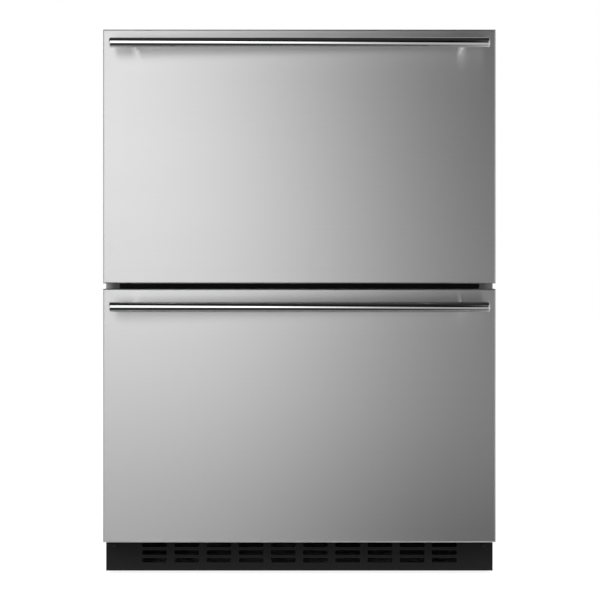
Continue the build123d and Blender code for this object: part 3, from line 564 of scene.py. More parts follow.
SLOT_FINISHES: dict[Slot, Finish] = {
    Slot.STAINLESS: PANEL_STEEL,
    Slot.CABINET_PAINT: Finish("coated_wrapper_sheet", (0.33, 0.33, 0.34), 0.42, specular=0.4,
                               tone_spread=0.008, gloss_spread=0.015, mottle_scale=5.0,
                               skin_scale=520.0, skin_depth=0.00005),
    Slot.BLACK_PAINT: Finish("black_powder_coat", (0.0065, 0.0065, 0.0065), 0.55, specular=0.2,
                             skin_scale=1100.0, tone_spread=0.15),
    Slot.GALVANISED: ZINC_SHEET,
    Slot.INSULATION: CutFoam("poured_foam", (0.84, 0.78, 0.55), 0.9, skin_scale=700.0, skin_depth=0.0004),
    Slot.LINER_PLASTIC: Finish("liner_plastic", (0.84, 0.85, 0.86), 0.3, tone_spread=0.006,
                               gloss_spread=0.012, skin_scale=380.0, skin_depth=0.00002),
    Slot.DARK_PLASTIC: Finish("moulded_black_plastic", (0.025, 0.025, 0.027), 0.5, specular=0.4,
                              skin_scale=1500.0, tone_spread=0.1),
    Slot.SEAL_RUBBER: SEAL_RUBBER,
    Slot.COMPRESSOR_PAINT: Finish("compressor_enamel", (0.015, 0.015, 0.015), 0.27, tone_spread=0.15,
                                  skin_scale=240.0, skin_depth=0.00008),
    Slot.ALUMINIUM_FINS: FinStock("aluminium_fin_stock", (0.72, 0.73, 0.74), 0.36),
    Slot.COPPER_TUBE: TarnishedTube("drawn_copper_tube", (0.72, 0.38, 0.24), 0.3, skin_scale=500.0),
    Slot.LAMP_LENS: ClearPlastic("ribbed_lamp_lens", (0.9, 0.9, 0.86), 0.35, transmission=0.35, glow=3.0,
                                 rib_pitch=0.002),
    Slot.DIVIDER_PLASTIC: ClearPlastic("clear_divider_plastic", (0.86, 0.92, 0.93), 0.06, transmission=0.9,
                                       tone_spread=0.01, gloss_spread=0.02, skin_depth=0.000005),
    Slot.ZINC_PLATE: Finish("zinc_plate", (0.5, 0.5, 0.48), 0.36, metallic=1.0, tone_spread=0.12,
                            gloss_spread=0.1, mottle_scale=70.0, skin_scale=1400.0, skin_depth=0.00001),
}

NODE_FINISHES: dict[str, Finish] = {"upper_bin": BIN_STEEL, "lower_bin": BIN_STEEL}


class Paintshop:
    """Makes each finish's material once, and finishes the CAD nodes."""

    def __init__(self) -> None:
        """Builds the shared effects, with no material made yet."""
        self.effects = Effects()
        self.made: dict[str, Material] = {}

    def coat(self, finish: Finish) -> Material:
        """Gets a finish's material, which is made at its first use.

        Args:
            finish: The finish.

        Returns:
            The material.
        """
        if finish.name not in self.made:
            self.made[finish.name] = Coat(finish, self.effects).material
        return self.made[finish.name]

    def finish_nodes(self) -> None:
        """Gives every CAD node the finish of its slot, or its own."""
        for part in frame["record"]["subparts"]:
            node = part["node"]
            finish = NODE_FINISHES.get(node, SLOT_FINISHES[Slot(part["material_slot"])])
            for place in frame["nodes"][node].material_slots:
                place.link = "DATA"
                place.material = self.coat(finish)
        log.info("finished %d CAD nodes with %d materials", len(frame["nodes"]), len(self.made))


# ---- Meshes ----

class Shell:
    """A closed mesh that is being built at its final place."""

    def __init__(self) -> None:
        """Starts empty."""
        self.work = bmesh.new()

    def _skin(self, rings: Sequence[Ring]) -> list[list[bmesh.types.BMVert]]:
        """Joins rings of corners, where a ring of one corner is a pole.

        Args:
            rings: The rings in order.

        Returns:
            The rings' vertices.
        """
        loops = [[self.work.verts.new(point) for point in ring] for ring in rings]
        for low, high in zip(loops, loops[1:]):
            for i in range(max(len(low), len(high))):
                turns = ((low, i), (low, i + 1), (high, i + 1), (high, i))
                corners = dict.fromkeys(loop[turn % len(loop)] for loop, turn in turns)
                self.work.faces.new(tuple(corners))
        return loops

    def turned(self, profile: Sequence[Pair], sides: int, place: Matrix) -> "Shell":
        """Turns a profile about the local Z axis.

        Args:
            profile: The radius and height of each ring, from pole to pole.
            sides: How many sides each ring has.
            place: Where the local axes stand.

        Returns:
            This shell.
        """
        rings = []
        for radius, height in profile:
            count = 1 if radius == 0 else sides
            turns = (math.tau * (i + 0.5) / count for i in range(count))
            ring = [(radius * math.cos(t), radius * math.sin(t), height) for t in turns]
            rings.append([place @ Vector(corner) for corner in ring])
        self._skin(rings)
        return self

    def lofted(self, sections: Sequence[Ring]) -> "Shell":
        """Joins closed sections of equal counts and caps both ends.

        Args:
            sections: The sections' corners, in order.

        Returns:
            This shell.
        """
        loops = self._skin(sections)
        for end in (loops[0], loops[-1]):
            self.work.faces.new(end)
        return self

    def slab(self, low: Sequence[float], high: Sequence[float]) -> "Shell":
        """Returns this shell with a rectangular solid added between two corners."""
        (x0, y0, z0), (x1, y1, z1) = low, high
        return self.lofted([[(x0, y0, z), (x1, y0, z), (x1, y1, z), (x0, y1, z)] for z in (z0, z1)])

    def mesh(self, name: str) -> Mesh:
        """Closes the work with its faces turned outwards.

        Args:
            name: The mesh's name.

        Returns:
            The finished mesh.
        """
        bmesh.ops.recalc_face_normals(self.work, faces=self.work.faces[:])
        made = bpy.data.meshes.new(name)
        self.work.to_mesh(made)
        self.work.free()
        return made


def along(axis: Sequence[float], origin: Sequence[float] = (0, 0, 0)) -> Matrix:
    """Returns the place whose local Z points along an axis from an origin."""
    return Matrix.Translation(origin) @ Vector(axis).to_track_quat("Z", "Y").to_matrix().to_4x4()


def quarter(steps: int) -> list[float]:
    """Returns the angles of a quarter turn in equal steps."""
    return [math.pi / 2 * i / steps for i in range(steps + 1)]


def placed(name: str, data: object) -> Object:
    """Adds an object to the scene.

    Args:
        name: Its name.
        data: Its mesh, lamp or camera.

    Returns:
        The object, at the origin.
    """
    made = bpy.data.objects.new(name, data)
    bpy.context.scene.collection.objects.link(made)
    return made


def evaluated(source: Object) -> Mesh:
    """Takes the mesh that an object's modifiers give, and removes the object.

    Args:
        source: The object with its modifiers.

    Returns:
        The plain mesh.
    """
    bpy.context.view_layer.update()
    made = bpy.data.meshes.new_from_object(source.evaluated_get(bpy.context.evaluated_depsgraph_get()))
    bpy.data.objects.remove(source)
    return made


def carved(body: Mesh, cutter: Mesh) -> Mesh:
    """Cuts one mesh out of another.

    Args:
        body: The mesh that stays.
        cutter: The mesh that is taken away.

    Returns:
        What is left of the body.
    """
    carrier, tool = placed("body", body), placed("cutter", cutter)
    modifier = carrier.modifiers.new("carve", "BOOLEAN")
    modifier.operation, modifier.solver, modifier.object = "DIFFERENCE", "EXACT", tool
    made = evaluated(carrier)
    bpy.data.objects.remove(tool)
    return made


@dataclass(frozen=True)
class Grid:
    """Where the copies of a repeated shape stand."""

    start: Triple
    step: Triple
    count: int
    row_step: Triple = (0.0, 0.0, 0.0)
    rows: int = 1


class Workshop:
    """Repeats and sweeps shapes with two Geometry Nodes trees, and turns meshes into pieces."""

    def __init__(self, paint: Paintshop) -> None:
        """Keeps the paintshop and builds both trees."""
        self.paint, self.grid_tree, self.sweep_tree = paint, self._grid_tree(), self._sweep_tree()

    def _grid_tree(self) -> Tree:
        """Makes the tree that copies its geometry to the points of a grid.

        Returns:
            The tree.
        """
        inputs = {"Geometry": "Geometry", "Start": "Vector", "Step": "Vector", "Count": 1,
                  "Row Step": "Vector", "Rows": 1, "Material": "Material"}
        group, graph, given, end = new_group("copies_on_grid", inputs, "Geometry")
        row = graph.node("MeshLine", mode="OFFSET", Count=given["Count"], Start_Location=given["Start"],
                         Offset=given["Step"])
        column = graph.node("MeshLine", mode="OFFSET", Count=given["Rows"], Offset=given["Row Step"])
        lines = graph.node("InstanceOnPoints", column.outputs[0], Instance=row.outputs[0])
        points = graph.node("RealizeInstances", lines.outputs[0])
        self._close(graph, graph.node("InstanceOnPoints", points.outputs[0], Instance=given["Geometry"]),
                    given["Material"], end)
        return group

    def _sweep_tree(self) -> Tree:
        """Makes the tree that sweeps its outline round a rectangle with rounded corners.

        Returns:
            The tree.
        """
        inputs = {"Geometry": "Geometry", "Width": 1.0, "Height": 1.0, "Corner": 0.01, "Corner Steps": 6,
                  "Centre": "Vector", "Material": "Material"}
        group, graph, given, end = new_group("outline_round_frame", inputs, "Geometry")
        path = graph.node("CurvePrimitiveQuadrilateral", given["Width"], given["Height"])
        rounded = graph.node("FilletCurve", path.outputs[0], mode="POLY", Radius=given["Corner"],
                             Count=given["Corner Steps"])
        outline = graph.node("MeshToCurve", given["Geometry"])
        swept = graph.node("CurveToMesh", rounded.outputs[0], Profile_Curve=outline.outputs[0])
        self._close(graph, graph.node("Transform", swept.outputs[0], Translation=given["Centre"],
                                      Rotation=UPRIGHT), given["Material"], end)
        return group

    def _close(self, graph: Graph, last: Node, material: Socket, end: Node) -> None:
        """Ends a tree in Realize Instances and Set Material."""
        real = graph.node("RealizeInstances", last.outputs[0])
        graph.feed(end.inputs[0], graph.node("SetMaterial", real.outputs[0], Material=material).outputs[0])

    def _run(self, tree: Tree, mesh: Mesh, finish: Finish, **values: object) -> Mesh:
        """Runs a tree on a mesh.

        Args:
            tree: The tree.
            mesh: The geometry that goes in.
            finish: The finish of what comes out.
            values: The tree's other inputs, in small letters and with underscores for spaces.

        Returns:
            The plain mesh that comes out.
        """
        carrier = placed("carrier", mesh)
        modifier = carrier.modifiers.new("tree", "NODES")
        modifier.node_group = tree
        keys = {item.name: item.identifier for item in tree.interface.items_tree if item.in_out == "INPUT"}
        for name, value in {**values, "material": self.paint.coat(finish)}.items():
            modifier[keys[name.replace("_", " ").title()]] = value
        return evaluated(carrier)

    def copies(self, item: Mesh, finish: Finish, *grids: Grid) -> Mesh:
        """Copies an item over one or more grids.

        Args:
            item: The mesh to copy, about the origin.
            finish: The copies' finish.
            grids: Where the copies stand.

        Returns:
            One mesh with all the copies.
        """
        shell = Shell()
        for grid in grids:
            shell.work.from_mesh(self._run(self.grid_tree, item.copy(), finish, **asdict(grid)))
        return shell.mesh(item.name)

    def swept(self, outline: Sequence[Pair], node: str, inset: float, corner: float, y: float,
              finish: Finish) -> Mesh:
        """Sweeps a closed outline round an upright frame in a CAD node's box.

        Args:
            outline: The section's corners, outward and backward from the path.
            node: The CAD node.
            inset: How far inside the box the path runs.
            corner: The path's corner radius.
            y: The path's plane.
            finish: The ring's finish.

        Returns:
            The swept ring.
        """
        low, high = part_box(node)
        count = len(outline)
        loop = bpy.data.meshes.new(node)
        loop.from_pydata([(u, v, 0.0) for u, v in outline], [(i, (i + 1) % count) for i in range(count)], [])
        return self._run(self.sweep_tree, loop, finish, width=high.x - low.x - 2 * inset,
                         height=high.z - low.z - 2 * inset, corner=corner,
                         centre=((low.x + high.x) / 2, y, (low.z + high.z) / 2))

    def piece(self, mesh: Mesh, name: str, body: str, slot: Slot, finish: Finish, replaced: str = "") -> None:
        """Makes a piece from a mesh.

        Args:
            mesh: The mesh at its final place.
            name: The piece's name.
            body: The body that it rides on.
            slot: Not used.
            finish: Its finish.
            replaced: The CAD node that it replaces, if any.
        """
        mesh.name = name
        mesh.shade_smooth()
        mesh.set_sharp_from_angle(angle=CREASE)
        mesh.materials.clear()
        mesh.materials.append(self.paint.coat(finish))
        made = placed(name, mesh)
        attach(made, body)
        if replaced:
            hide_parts(replaced)
        log.info("%s: %d faces on %s", name, len(mesh.polygons), body)


# ---- Screws ----

@dataclass(frozen=True)
class HexHead:
    """A hexagonal screw head with a washer face, as on sheet metal screws."""

    washer_radius: float = 0.0052
    washer_rise: float = 0.0009
    washer_wall: float = 0.00054
    washer_sides: int = 20
    sides: int = 6
    across_corners: float = 0.0078
    height: float = 0.0030
    bevel: float = 0.0004
    dish: float = 0.0007
    dish_shares: Pair = (0.62, 0.5)

    def mesh(self) -> Mesh:
        """Makes one head that stands on the origin and points along +Y.

        Returns:
            The head.
        """
        radius, washer, rise, top = self.across_corners / 2, self.washer_radius, self.washer_rise, self.height
        rim, floor = (radius * share for share in self.dish_shares)
        flange = [(0, 0), (washer, 0), (washer, self.washer_wall), (washer - self.bevel, rise), (0, rise)]
        head = [(0, 0), (radius, 0), (radius, top - self.bevel), (radius - self.bevel, top), (rim, top),
                (floor, top - self.dish), (0, top - self.dish)]
        shell = Shell().turned(flange, self.washer_sides, along((0, 1, 0)))
        return shell.turned(head, self.sides, along((0, 1, 0))).mesh("hex_head")


@dataclass(frozen=True)
class CrossHead:
    """A low domed screw head with a cross recess."""

    radius: float = 0.0040
    height: float = 0.0022
    wall_share: float = 0.35
    dome_steps: int = 5
    recess_reach: float = 0.0022
    recess_width: float = 0.0008
    recess_depth: float = 0.0012
    cutter_share: float = 1.5
    sides: int = 24

    def mesh(self, facing: Triple) -> Mesh:
        """Makes one head on the origin.

        Args:
            facing: The way it points.

        Returns:
            The head.
        """
        wall, place = self.wall_share, along(facing)
        dome = [(self.radius * math.cos(t), self.height * (wall + (1 - wall) * math.sin(t)))
                for t in quarter(self.dome_steps)[:-1]]
        profile = [(0, 0), (self.radius, 0), *dome, (0, self.height)]
        head = Shell().turned(profile, self.sides, place).mesh("cross_head")
        reach, half = self.recess_reach, self.recess_width / 2
        floor, top = self.height - self.recess_depth, self.height * self.cutter_share
        for x, y in ((reach, half), (half, reach)):
            arm = Shell().slab((-x, -y, floor), (x, y, top)).mesh("recess_arm")
            arm.transform(place)
            head = carved(head, arm)
        return head


# ---- Sub-assemblies of the refrigerator ----

@dataclass
class Fitting:
    """A sub-assembly that is made in the workshop."""

    shop: Workshop


@dataclass
class DrawerFitting(Fitting):
    """A sub-assembly that each drawer has."""

    side: Side

    def named(self, part: str) -> str:
        """Returns the name of this drawer's node, body or piece."""
        return f"{self.side}_{part}"

    def fit(self, mesh: Mesh, name: str, body: str, *rest: object) -> None:
        """Makes a piece whose name and body have the drawer's name before them."""
        self.shop.piece(mesh, self.named(name), self.named(body), *rest)


@dataclass
class DrawerHandle(DrawerFitting):
    """A round bar on two posts, in front of one drawer."""

    bar_sides: int = 96
    end_radius: float = 0.0026
    end_steps: int = 5
    end_dome: float = 0.0002
    post_sides: int = 56
    seam_width: float = 0.0005
    seam_depth: float = 0.0004
    seam_from_skin: float = 0.0012

    def bar(self) -> None:
        """Makes the turned bar with rounded ends, in place of the CAD bar."""
        node = self.named("handle_bar")
        low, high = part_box(node)
        radius, half = (high.z - low.z) / 2, (high.x - low.x) / 2
        end = [(radius - self.end_radius * (1 - math.sin(t)),
                half - self.end_dome - self.end_radius * (1 - math.cos(t))) for t in quarter(self.end_steps)]
        profile = [(0, -half), *((r, -h) for r, h in end), *reversed(end), (0, half)]
        mesh = Shell().turned(profile, self.bar_sides, along((1, 0, 0), (low + high) / 2)).mesh(node)
        self.fit(mesh, "turned_bar", "drawer", Slot.STAINLESS, BAR_STEEL, node)

    def posts(self) -> None:
        """Makes both posts with the seam of their screwed foot, in place of the CAD posts."""
        node = self.named("handle_posts")
        low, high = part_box(node)
        radius, length = (high.z - low.z) / 2, high.y - low.y
        neck, slope = radius - self.seam_depth, self.seam_depth / 2
        start, end = self.seam_from_skin, self.seam_from_skin + self.seam_width
        profile = [(0, 0), (radius, 0), (radius, start), (neck, start + slope), (neck, end),
                   (radius, end + slope), (radius, length), (0, length)]
        shell = Shell()
        for x in (low.x + radius, high.x - radius):
            shell.turned(profile, self.post_sides, along((0, -1, 0), (x, high.y, (high.z + low.z) / 2)))
        self.fit(shell.mesh(node), "turned_posts", "drawer", Slot.STAINLESS, BAR_STEEL, node)

    def build(self) -> None:
        """Makes the bar and its posts."""
        self.bar()
        self.posts()


@dataclass
class DrawerSeal(DrawerFitting):
    """The magnetic seal round one drawer's inner panel: a flat base, a folded neck and a magnet bulb."""

    inset: float = 0.007
    corner: float = 0.0074
    half_outline: tuple[Pair, ...] = (
        (0.0064, 0.0000), (0.0070, 0.0006), (0.0070, 0.0015), (0.0065, 0.0021), (0.0046, 0.0024),
        (0.0032, 0.0029), (0.0029, 0.0033), (0.0033, 0.0037), (0.0046, 0.0041), (0.0050, 0.0047),
        (0.0050, 0.0072), (0.0043, 0.0080),
    )

    def build(self) -> None:
        """Makes the swept seal, in place of the CAD seal."""
        node = self.named("gasket")
        outline = [*self.half_outline, *((-u, v) for u, v in reversed(self.half_outline))]
        mesh = self.shop.swept(outline, node, self.inset, self.corner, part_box(node)[0].y, SEAL_RUBBER)
        self.fit(mesh, "bellows_seal", "drawer", Slot.SEAL_RUBBER, SEAL_RUBBER, node)


@dataclass
class SlideBearings(DrawerFitting):
    """The balls that run between a slide's members, held on the middle rail."""

    ball_radius: float = 0.00125
    ball_sides: int = 10
    ball_profile: tuple[Pair, ...] = ((0, -1), (0.5, -0.866), (0.866, -0.5), (1, 0), (0.866, 0.5),
                                      (0.5, 0.866), (0, 1))
    clearance: float = 0.0002
    pitch: float = 0.014
    count: int = 24
    balls_x: float = 0.2545

    def build(self) -> None:
        """Makes the rows of balls of both slides, above and below each middle rail."""
        low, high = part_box(self.named("right_middle_rail"))
        rail_low, rail_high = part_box(self.named("right_drawer_rail"))
        y = (low.y + high.y) / 2 - self.pitch * (self.count - 1) / 2
        outset = self.ball_radius + self.clearance
        span = rail_high.z - rail_low.z + 2 * outset
        grids = [Grid((x, y, rail_low.z - outset), (0, self.pitch, 0), self.count, (0, 0, span), 2)
                 for x in (-self.balls_x, self.balls_x)]
        profile = [(r * self.ball_radius, h * self.ball_radius) for r, h in self.ball_profile]
        ball = Shell().turned(profile, self.ball_sides, Matrix()).mesh("ball")
        balls = self.shop.copies(ball, BALL_STEEL, *grids)
        self.fit(balls, "slide_balls", "middle_rails", Slot.ZINC_PLATE, BALL_STEEL)


@dataclass
class RearPanel(Fitting):
    """The upper back sheet, with a pressed frame and dimples that sink its screws."""

    edge: float = 0.014
    dimple_radius: float = 0.0085
    dimple_floor: float = 0.0055
    dimple_depth: float = 0.0008
    dimple_sides: int = 28
    cutter_rise: float = 0.001
    screw: CrossHead = field(default_factory=lambda: CrossHead(height=0.0006, recess_depth=0.0004))
    rows: int = 6
    columns: int = 4
    swage_inset: float = 0.052
    swage_half: float = 0.006
    swage_floor: float = 0.0036
    swage_corner: float = 0.03

    def grids(self, sunk: float) -> list[Grid]:
        """Works out where the screws stand.

        Args:
            sunk: How deep under the sheet's outer face.

        Returns:
            The grid of both sides, and that of the top and bottom edges.
        """
        low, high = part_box("back_panel")
        width, height = high.x - low.x - 2 * self.edge, high.z - low.z - 2 * self.edge
        x, y, z = low.x + self.edge, high.y - sunk, low.z + self.edge
        pitch = width / (self.columns + 1)
        return [Grid((x, y, z), (width, 0, 0), 2, (0, 0, height / (self.rows - 1)), self.rows),
                Grid((x + pitch, y, z), (pitch, 0, 0), self.columns, (0, 0, height), 2)]

    def build(self) -> None:
        """Makes the pressed sheet and its screws."""
        low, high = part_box("back_panel")
        sheet = Shell().slab(low, high).mesh("rear_sheet")
        depth, rise, half, floor = self.dimple_depth, self.cutter_rise, self.swage_half, self.swage_floor
        flare = self.dimple_radius + (self.dimple_radius - self.dimple_floor) * rise / depth
        cone = [(0, -depth), (self.dimple_floor, -depth), (flare, rise), (0, rise)]
        dimple = Shell().turned(cone, self.dimple_sides, along((0, 1, 0))).mesh("dimple")
        for grid in self.grids(0.0):
            sheet = carved(sheet, self.shop.copies(dimple, ZINC_SHEET, grid))
        outline = [(-floor, -depth), (floor, -depth), (half, rise), (-half, rise)]
        sheet = carved(sheet, self.shop.swept(outline, "back_panel", self.swage_inset, self.swage_corner,
                                              high.y, ZINC_SHEET))
        self.shop.piece(sheet, "pressed_back_panel", "cabinet", Slot.GALVANISED, ZINC_SHEET, "back_panel")
        heads = self.shop.copies(self.screw.mesh((0, 1, 0)), SCREW_STEEL, *self.grids(depth))
        self.shop.piece(heads, "back_panel_screws", "cabinet", Slot.ZINC_PLATE, SCREW_STEEL)


@dataclass
class MachineRoomCover(Fitting):
    """What stands on the lower back sheet: pressed hoods over its air slots, and its screws."""

    hood_count: int = 9
    hood_pitch: float = 0.014
    hood_low: float = 0.0492
    hood_high: float = 0.0105
    hood_reach: float = 0.0036
    hood_ends: Pair = (-0.204, -0.016)
    hood_wall: float = 0.0007
    arc_steps: int = 6
    end_run: float = 0.010
    end_stations: tuple[float, ...] = (0.0, 0.06, 0.2, 0.4, 0.65, 1.0)
    end_share: float = 0.55
    lip_share: float = 0.3
    screw: HexHead = field(default_factory=HexHead)
    screw_x: float = 0.288
    screw_z: tuple[float, ...] = (0.026, 0.116, 0.206)
    top_pitch: float = 0.14
    top_count: int = 3

    def hood(self, face: float) -> Mesh:
        """Makes one hood: a quarter vault, open below and closed at both ends.

        Args:
            face: The y of the sheet's outer face.

        Returns:
            The lowest hood.
        """
        (left, right), low, wall, share = self.hood_ends, self.hood_low, self.hood_wall, self.end_share
        stations = [(left + self.end_run * t, t) for t in self.end_stations]
        stations += [(right - self.end_run * t, t) for t in reversed(self.end_stations)]
        arc, sections = quarter(self.arc_steps), []
        for x, t in stations:
            full = math.sqrt(1 - (1 - t) ** 2)
            reach, rise = self.hood_reach * full, self.hood_high * (share + (1 - share) * full)
            outer = [(x, face + reach * math.cos(a), low + rise * math.sin(a)) for a in arc]
            inner = [(x, face + (reach - wall) * math.cos(a) - wall * self.lip_share * math.sin(a),
                      low + (rise - wall) * math.sin(a)) for a in reversed(arc)]
            sections.append(outer + inner)
        return Shell().lofted(sections).mesh("louvre_hood")

    def build(self) -> None:
        """Makes the hoods and the screws."""
        face, x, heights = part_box("machine_room_cover")[1].y, self.screw_x, self.screw_z
        hoods = self.shop.copies(self.hood(face), ZINC_SHEET,
                                 Grid((0, 0, 0), (0, 0, self.hood_pitch), self.hood_count))
        self.shop.piece(hoods, "louvre_hoods", "cabinet", Slot.GALVANISED, ZINC_SHEET)
        sides = Grid((-x, face, heights[0]), (2 * x, 0, 0), 2, (0, 0, heights[1] - heights[0]), len(heights))
        row_x = -self.top_pitch * (self.top_count - 1) / 2
        top = Grid((row_x, face, heights[-1]), (self.top_pitch, 0, 0), self.top_count)
        heads = self.shop.copies(self.screw.mesh(), SCREW_STEEL, sides, top)
        self.shop.piece(heads, "cover_screws", "cabinet", Slot.ZINC_PLATE, SCREW_STEEL)


@dataclass
class ToeGrilleScrews(Fitting):
    """The two screws that hold the toe grille, just under the lower front."""

    half_span: float = 0.286
    height: float = 0.0437
    screw: CrossHead = field(default_factory=lambda: CrossHead(radius=0.0034, height=0.0018))

    def build(self) -> None:
        """Makes the pair of heads."""
        pair = Grid((-self.half_span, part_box("toe_grille")[0].y, self.height), (2 * self.half_span, 0, 0), 2)
        heads = self.shop.copies(self.screw.mesh((0, -1, 0)), DARK_SCREW, pair)
        self.shop.piece(heads, "toe_grille_screws", "cabinet", Slot.ZINC_PLATE, DARK_SCREW)


# ---- Studio ----

@dataclass(frozen=True)
class Lamp:
    """A soft square lamp that looks at the refrigerator and isn't mirrored in it."""

    name: str
    place: Triple
    power: float
    width: float = 1.8
    aim: Triple = (0, 0, 0.42)

    def build(self) -> None:
        """Adds the lamp."""
        data = bpy.data.lights.new(self.name, "AREA")
        data.shape, data.size, data.energy = "SQUARE", self.width, self.power
        made = placed(self.name, data)
        made.location = self.place
        made.rotation_euler = (Vector(self.aim) - Vector(self.place)).to_track_quat("-Z", "Y").to_euler()
        made.visible_glossy = False


@dataclass
class Studio:
    """A pale floor, soft lamps, reflectors that only metal sees, and the camera."""

    camera_place: Triple = (0, -2.67125, 0.49)
    focal_length: float = 94.3
    sensor: float = 36.0
    shift: Pair = (0.001, -0.0707)
    lamps: tuple[Lamp, ...] = (
        Lamp("lamp_left", (-2.2, -2.4, 2.6), 80.0),
        Lamp("lamp_right", (2.4, -1.6, 2.2), 24.0),
        Lamp("lamp_back", (1.2, 2.6, 2.6), 45.0),
    )
    floor_half: float = 9.0
    floor_tone: float = 0.33
    floor_lift: float = 0.84
    # Painted shade under the cabinet: where the floor's glow eases down, and the level it drops to.
    shade_width: Pair = (0.255, 0.285)
    shade_ends: tuple[Pair, ...] = ((-0.175, -0.205), (0.26, 0.29))
    shade_level: float = 0.02
    room_light: float = 0.55
    wall_y: float = -4.2
    back_y: float = 4.2
    card_half: float = 3.2
    card_top: float = 3.4
    card_lift: float = 0.003
    bay_half: float = 0.34
    bay_ends: Pair = (-0.3, 0.36)
    fan_centre: float = 2.129
    floor_slope: float = 0.3
    glow_levels: Pair = (1.92, 0.53)
    glow_turn: Pair = (-0.091, 0.145)
    glow_edge: float = 1.38
    glow_slant: float = 7.6
    glow_blur: Pair = (-0.1, 0.1)
    near_run: Pair = (1.10, 2.11)
    near_slant: float = -6.0
    near_level: float = 0.05
    canopy_end: float = 1.5
    canopy_levels: Pair = (0.03, 0.5)
    side_levels: Pair = (0.6, 0.38)
    side_fade: Pair = (0.6, 2.4)
    aside_run: Pair = (0.2, 0.34)
    aside_level: float = 0.85

    def sheet(self, name: str, low: Triple, high: Triple, material: Material) -> Object:
        """Adds one flat sheet of the studio.

        Args:
            name: Its name.
            low: Its lowest corner.
            high: The opposite corner, level with the first along one axis.
            material: Its material.

        Returns:
            The sheet.
        """
        corners, (across, up) = [], (axis for axis in range(3) if low[axis] != high[axis])
        for over, above in ((low, low), (high, low), (high, high), (low, high)):
            corner = list(low)
            corner[across], corner[up] = over[across], above[up]
            corners.append(corner)
        mesh = bpy.data.meshes.new(name)
        mesh.from_pydata(corners, [], [(0, 1, 2, 3)])
        mesh.materials.append(material)
        made = placed(name, mesh)
        return made

    def seen_share(self, graph: Graph) -> Socket:
        """Wires which rays come from the camera, from gloss or through glass.

        Args:
            graph: The material's graph.

        Returns:
            The socket of 1 for those rays and 0 for the rest.
        """
        ray = graph.node("LightPath").outputs
        seen = graph.maths("MAXIMUM", ray["Is Camera Ray"], ray["Is Glossy Ray"])
        return graph.maths("MAXIMUM", seen, ray["Is Transmission Ray"])

    def floor(self) -> None:
        """Adds the floor: white to the camera, with the object's shadow, and painted shade under the cabinet.
        """
        material, graph = new_material("studio_floor")
        matt = graph.node("BsdfDiffuse", (*(self.floor_tone,) * 3, 1.0))
        x, y, _ = graph.node("SeparateXYZ", graph.place()).outputs
        # Painted shade: the glow that camera and gloss rays see drops to shade_level inside the cabinet's
        # footprint.
        beyond_painted_shade = graph.window(graph.maths("ABSOLUTE", x), *self.shade_width)
        for end in self.shade_ends:
            beyond_painted_shade = graph.maths("MAXIMUM", beyond_painted_shade, graph.window(y, *end))
        glow_with_painted_shade = graph.between(beyond_painted_shade, self.shade_level, self.floor_lift)
        lift = graph.node("Emission", Strength=graph.maths("MULTIPLY", self.seen_share(graph), glow_with_painted_shade))
        both = graph.node("AddShader", matt.outputs[0], lift.outputs[0])
        graph.node("OutputMaterial", both.outputs[0])
        half = self.floor_half
        self.sheet("studio_floor", (-half, -half, 0), (half, half, 0), material)

    def world(self) -> None:
        """Fills the room with even light, and shows white to the camera."""
        world = bpy.data.worlds.new("studio")
        world.use_nodes = True
        bpy.context.scene.world = world
        graph = Graph(world.node_tree)
        strength = graph.between(self.seen_share(graph), self.room_light, 1.0)
        sky = graph.node("Background", (1.0, 1.0, 1.0, 1.0), strength)
        graph.node("OutputWorld", sky.outputs[0])

    def emitter(self, name: str, strength: object) -> Material:
        """Makes a material that only glows.

        Args:
            name: Its name.
            strength: The glow, or a function that wires it in the material's graph.

        Returns:
            The material.
        """
        material, graph = new_material(name)
        level = strength(graph) if callable(strength) else strength
        graph.node("OutputMaterial", graph.node("Emission", Strength=level).outputs[0])
        return material

    def front_glow(self, graph: Graph) -> Socket:
        """Wires the front reflectors' glow: strong low on the left, dark above a slanted edge and near by.

        Args:
            graph: The material's graph.

        Returns:
            The strength's socket.
        """
        maths, window, between = graph.maths, graph.window, graph.between
        x, y, z = graph.node("SeparateXYZ", graph.place()).outputs
        sideways = maths("DIVIDE", x, maths("SUBTRACT", self.fan_centre, y))
        height = maths("SUBTRACT", z, maths("MULTIPLY", maths("SUBTRACT", y, self.wall_y), self.floor_slope))
        under = maths("SUBTRACT", self.glow_edge, maths("MULTIPLY_ADD", sideways, self.glow_slant, height))
        low = window(under, *self.glow_blur)
        ahead = maths("MULTIPLY", maths("MULTIPLY_ADD", sideways, self.near_slant, y), -1.0)
        far = window(ahead, *self.near_run)
        level = between(window(sideways, *self.glow_turn), *self.glow_levels)
        ahead_glow = maths("MULTIPLY", low, between(far, self.near_level, level))
        aside = window(maths("ABSOLUTE", sideways), *self.aside_run)
        return between(aside, ahead_glow, self.aside_level)

    def side_glow(self, graph: Graph) -> Socket:
        """Wires the glow of the cards beside and behind, lighter below and darker above."""
        height = graph.node("SeparateXYZ", graph.place()).outputs["Z"]
        return graph.between(graph.window(height, *self.side_fade), *self.side_levels)

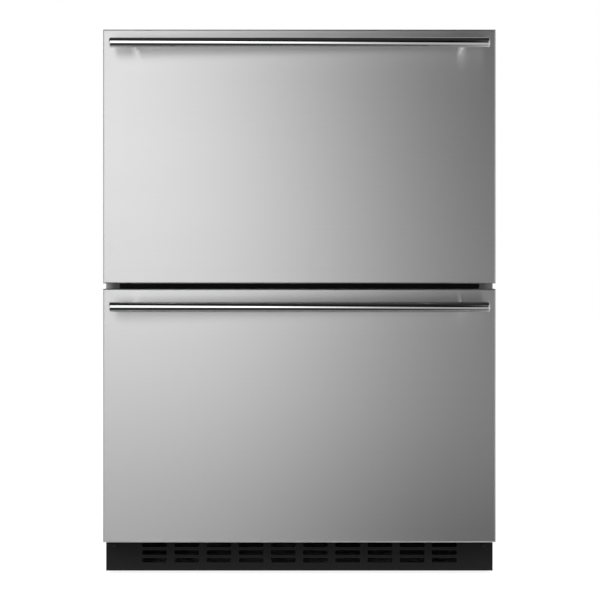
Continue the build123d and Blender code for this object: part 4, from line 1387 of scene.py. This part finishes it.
    def reflectors(self) -> None:
        """Adds the cards that only gloss sees: floor and wall in front, canopies, and grey ones all round."""
        glows = (self.front_glow, self.side_glow, *self.canopy_levels)
        names = ("front_reflector", "side_reflector", "dark_canopy", "rear_canopy")
        front, sides, dark, rear = map(self.emitter, names, glows)
        y, end, back, low, top = self.wall_y, self.canopy_end, self.back_y, self.card_lift, self.card_top
        w, bay, (near, behind) = self.card_half, self.bay_half, self.bay_ends
        for card in (
            self.sheet("floor_card", (-w, y, low), (w, near, low), front),
            self.sheet("wall_card", (-w, y, 0), (w, y, top), front),
            self.sheet("canopy", (-w, y, top), (w, end, top), dark),
            self.sheet("rear_canopy", (-w, end, top), (w, back, top), rear),
            self.sheet("ground_right", (bay, near, low), (w, back, low), sides),
            self.sheet("ground_left", (-w, near, low), (-bay, back, low), sides),
            self.sheet("ground_back", (-bay, behind, low), (bay, back, low), sides),
            self.sheet("left_card", (-w, y, 0), (-w, back, top), sides),
            self.sheet("right_card", (w, y, 0), (w, back, top), sides),
            self.sheet("back_card", (-w, back, 0), (w, back, top), sides),
        ):
            for ray in ("camera", "diffuse", "transmission", "volume_scatter", "shadow"):
                setattr(card, f"visible_{ray}", False)

    def camera(self) -> None:
        """Adds the level camera in front of the fronts."""
        data = bpy.data.cameras.new("camera")
        data.lens, data.sensor_width = self.focal_length, self.sensor
        data.shift_x, data.shift_y = self.shift
        made = placed("camera", data)
        made.location = self.camera_place
        made.rotation_euler = UPRIGHT
        bpy.context.scene.camera = made

    def build(self) -> None:
        """Sets up the whole studio."""
        bpy.context.scene.view_settings.view_transform = "Standard"
        self.world()
        self.floor()
        self.reflectors()
        for lamp in self.lamps:
            lamp.build()
        self.camera()


def main() -> None:
    """Builds every class in turn."""
    logging.basicConfig(level=logging.INFO, format="%(name)s: %(message)s")
    shop = Workshop(Paintshop())
    shop.paint.finish_nodes()
    for side in Side:
        DrawerHandle(shop, side).build()
        DrawerSeal(shop, side).build()
        SlideBearings(shop, side).build()
    RearPanel(shop).build()
    MachineRoomCover(shop).build()
    ToeGrilleScrews(shop).build()
    Studio().build()
    bpy.context.view_layer.update()


if __name__ == "__main__":
    main()
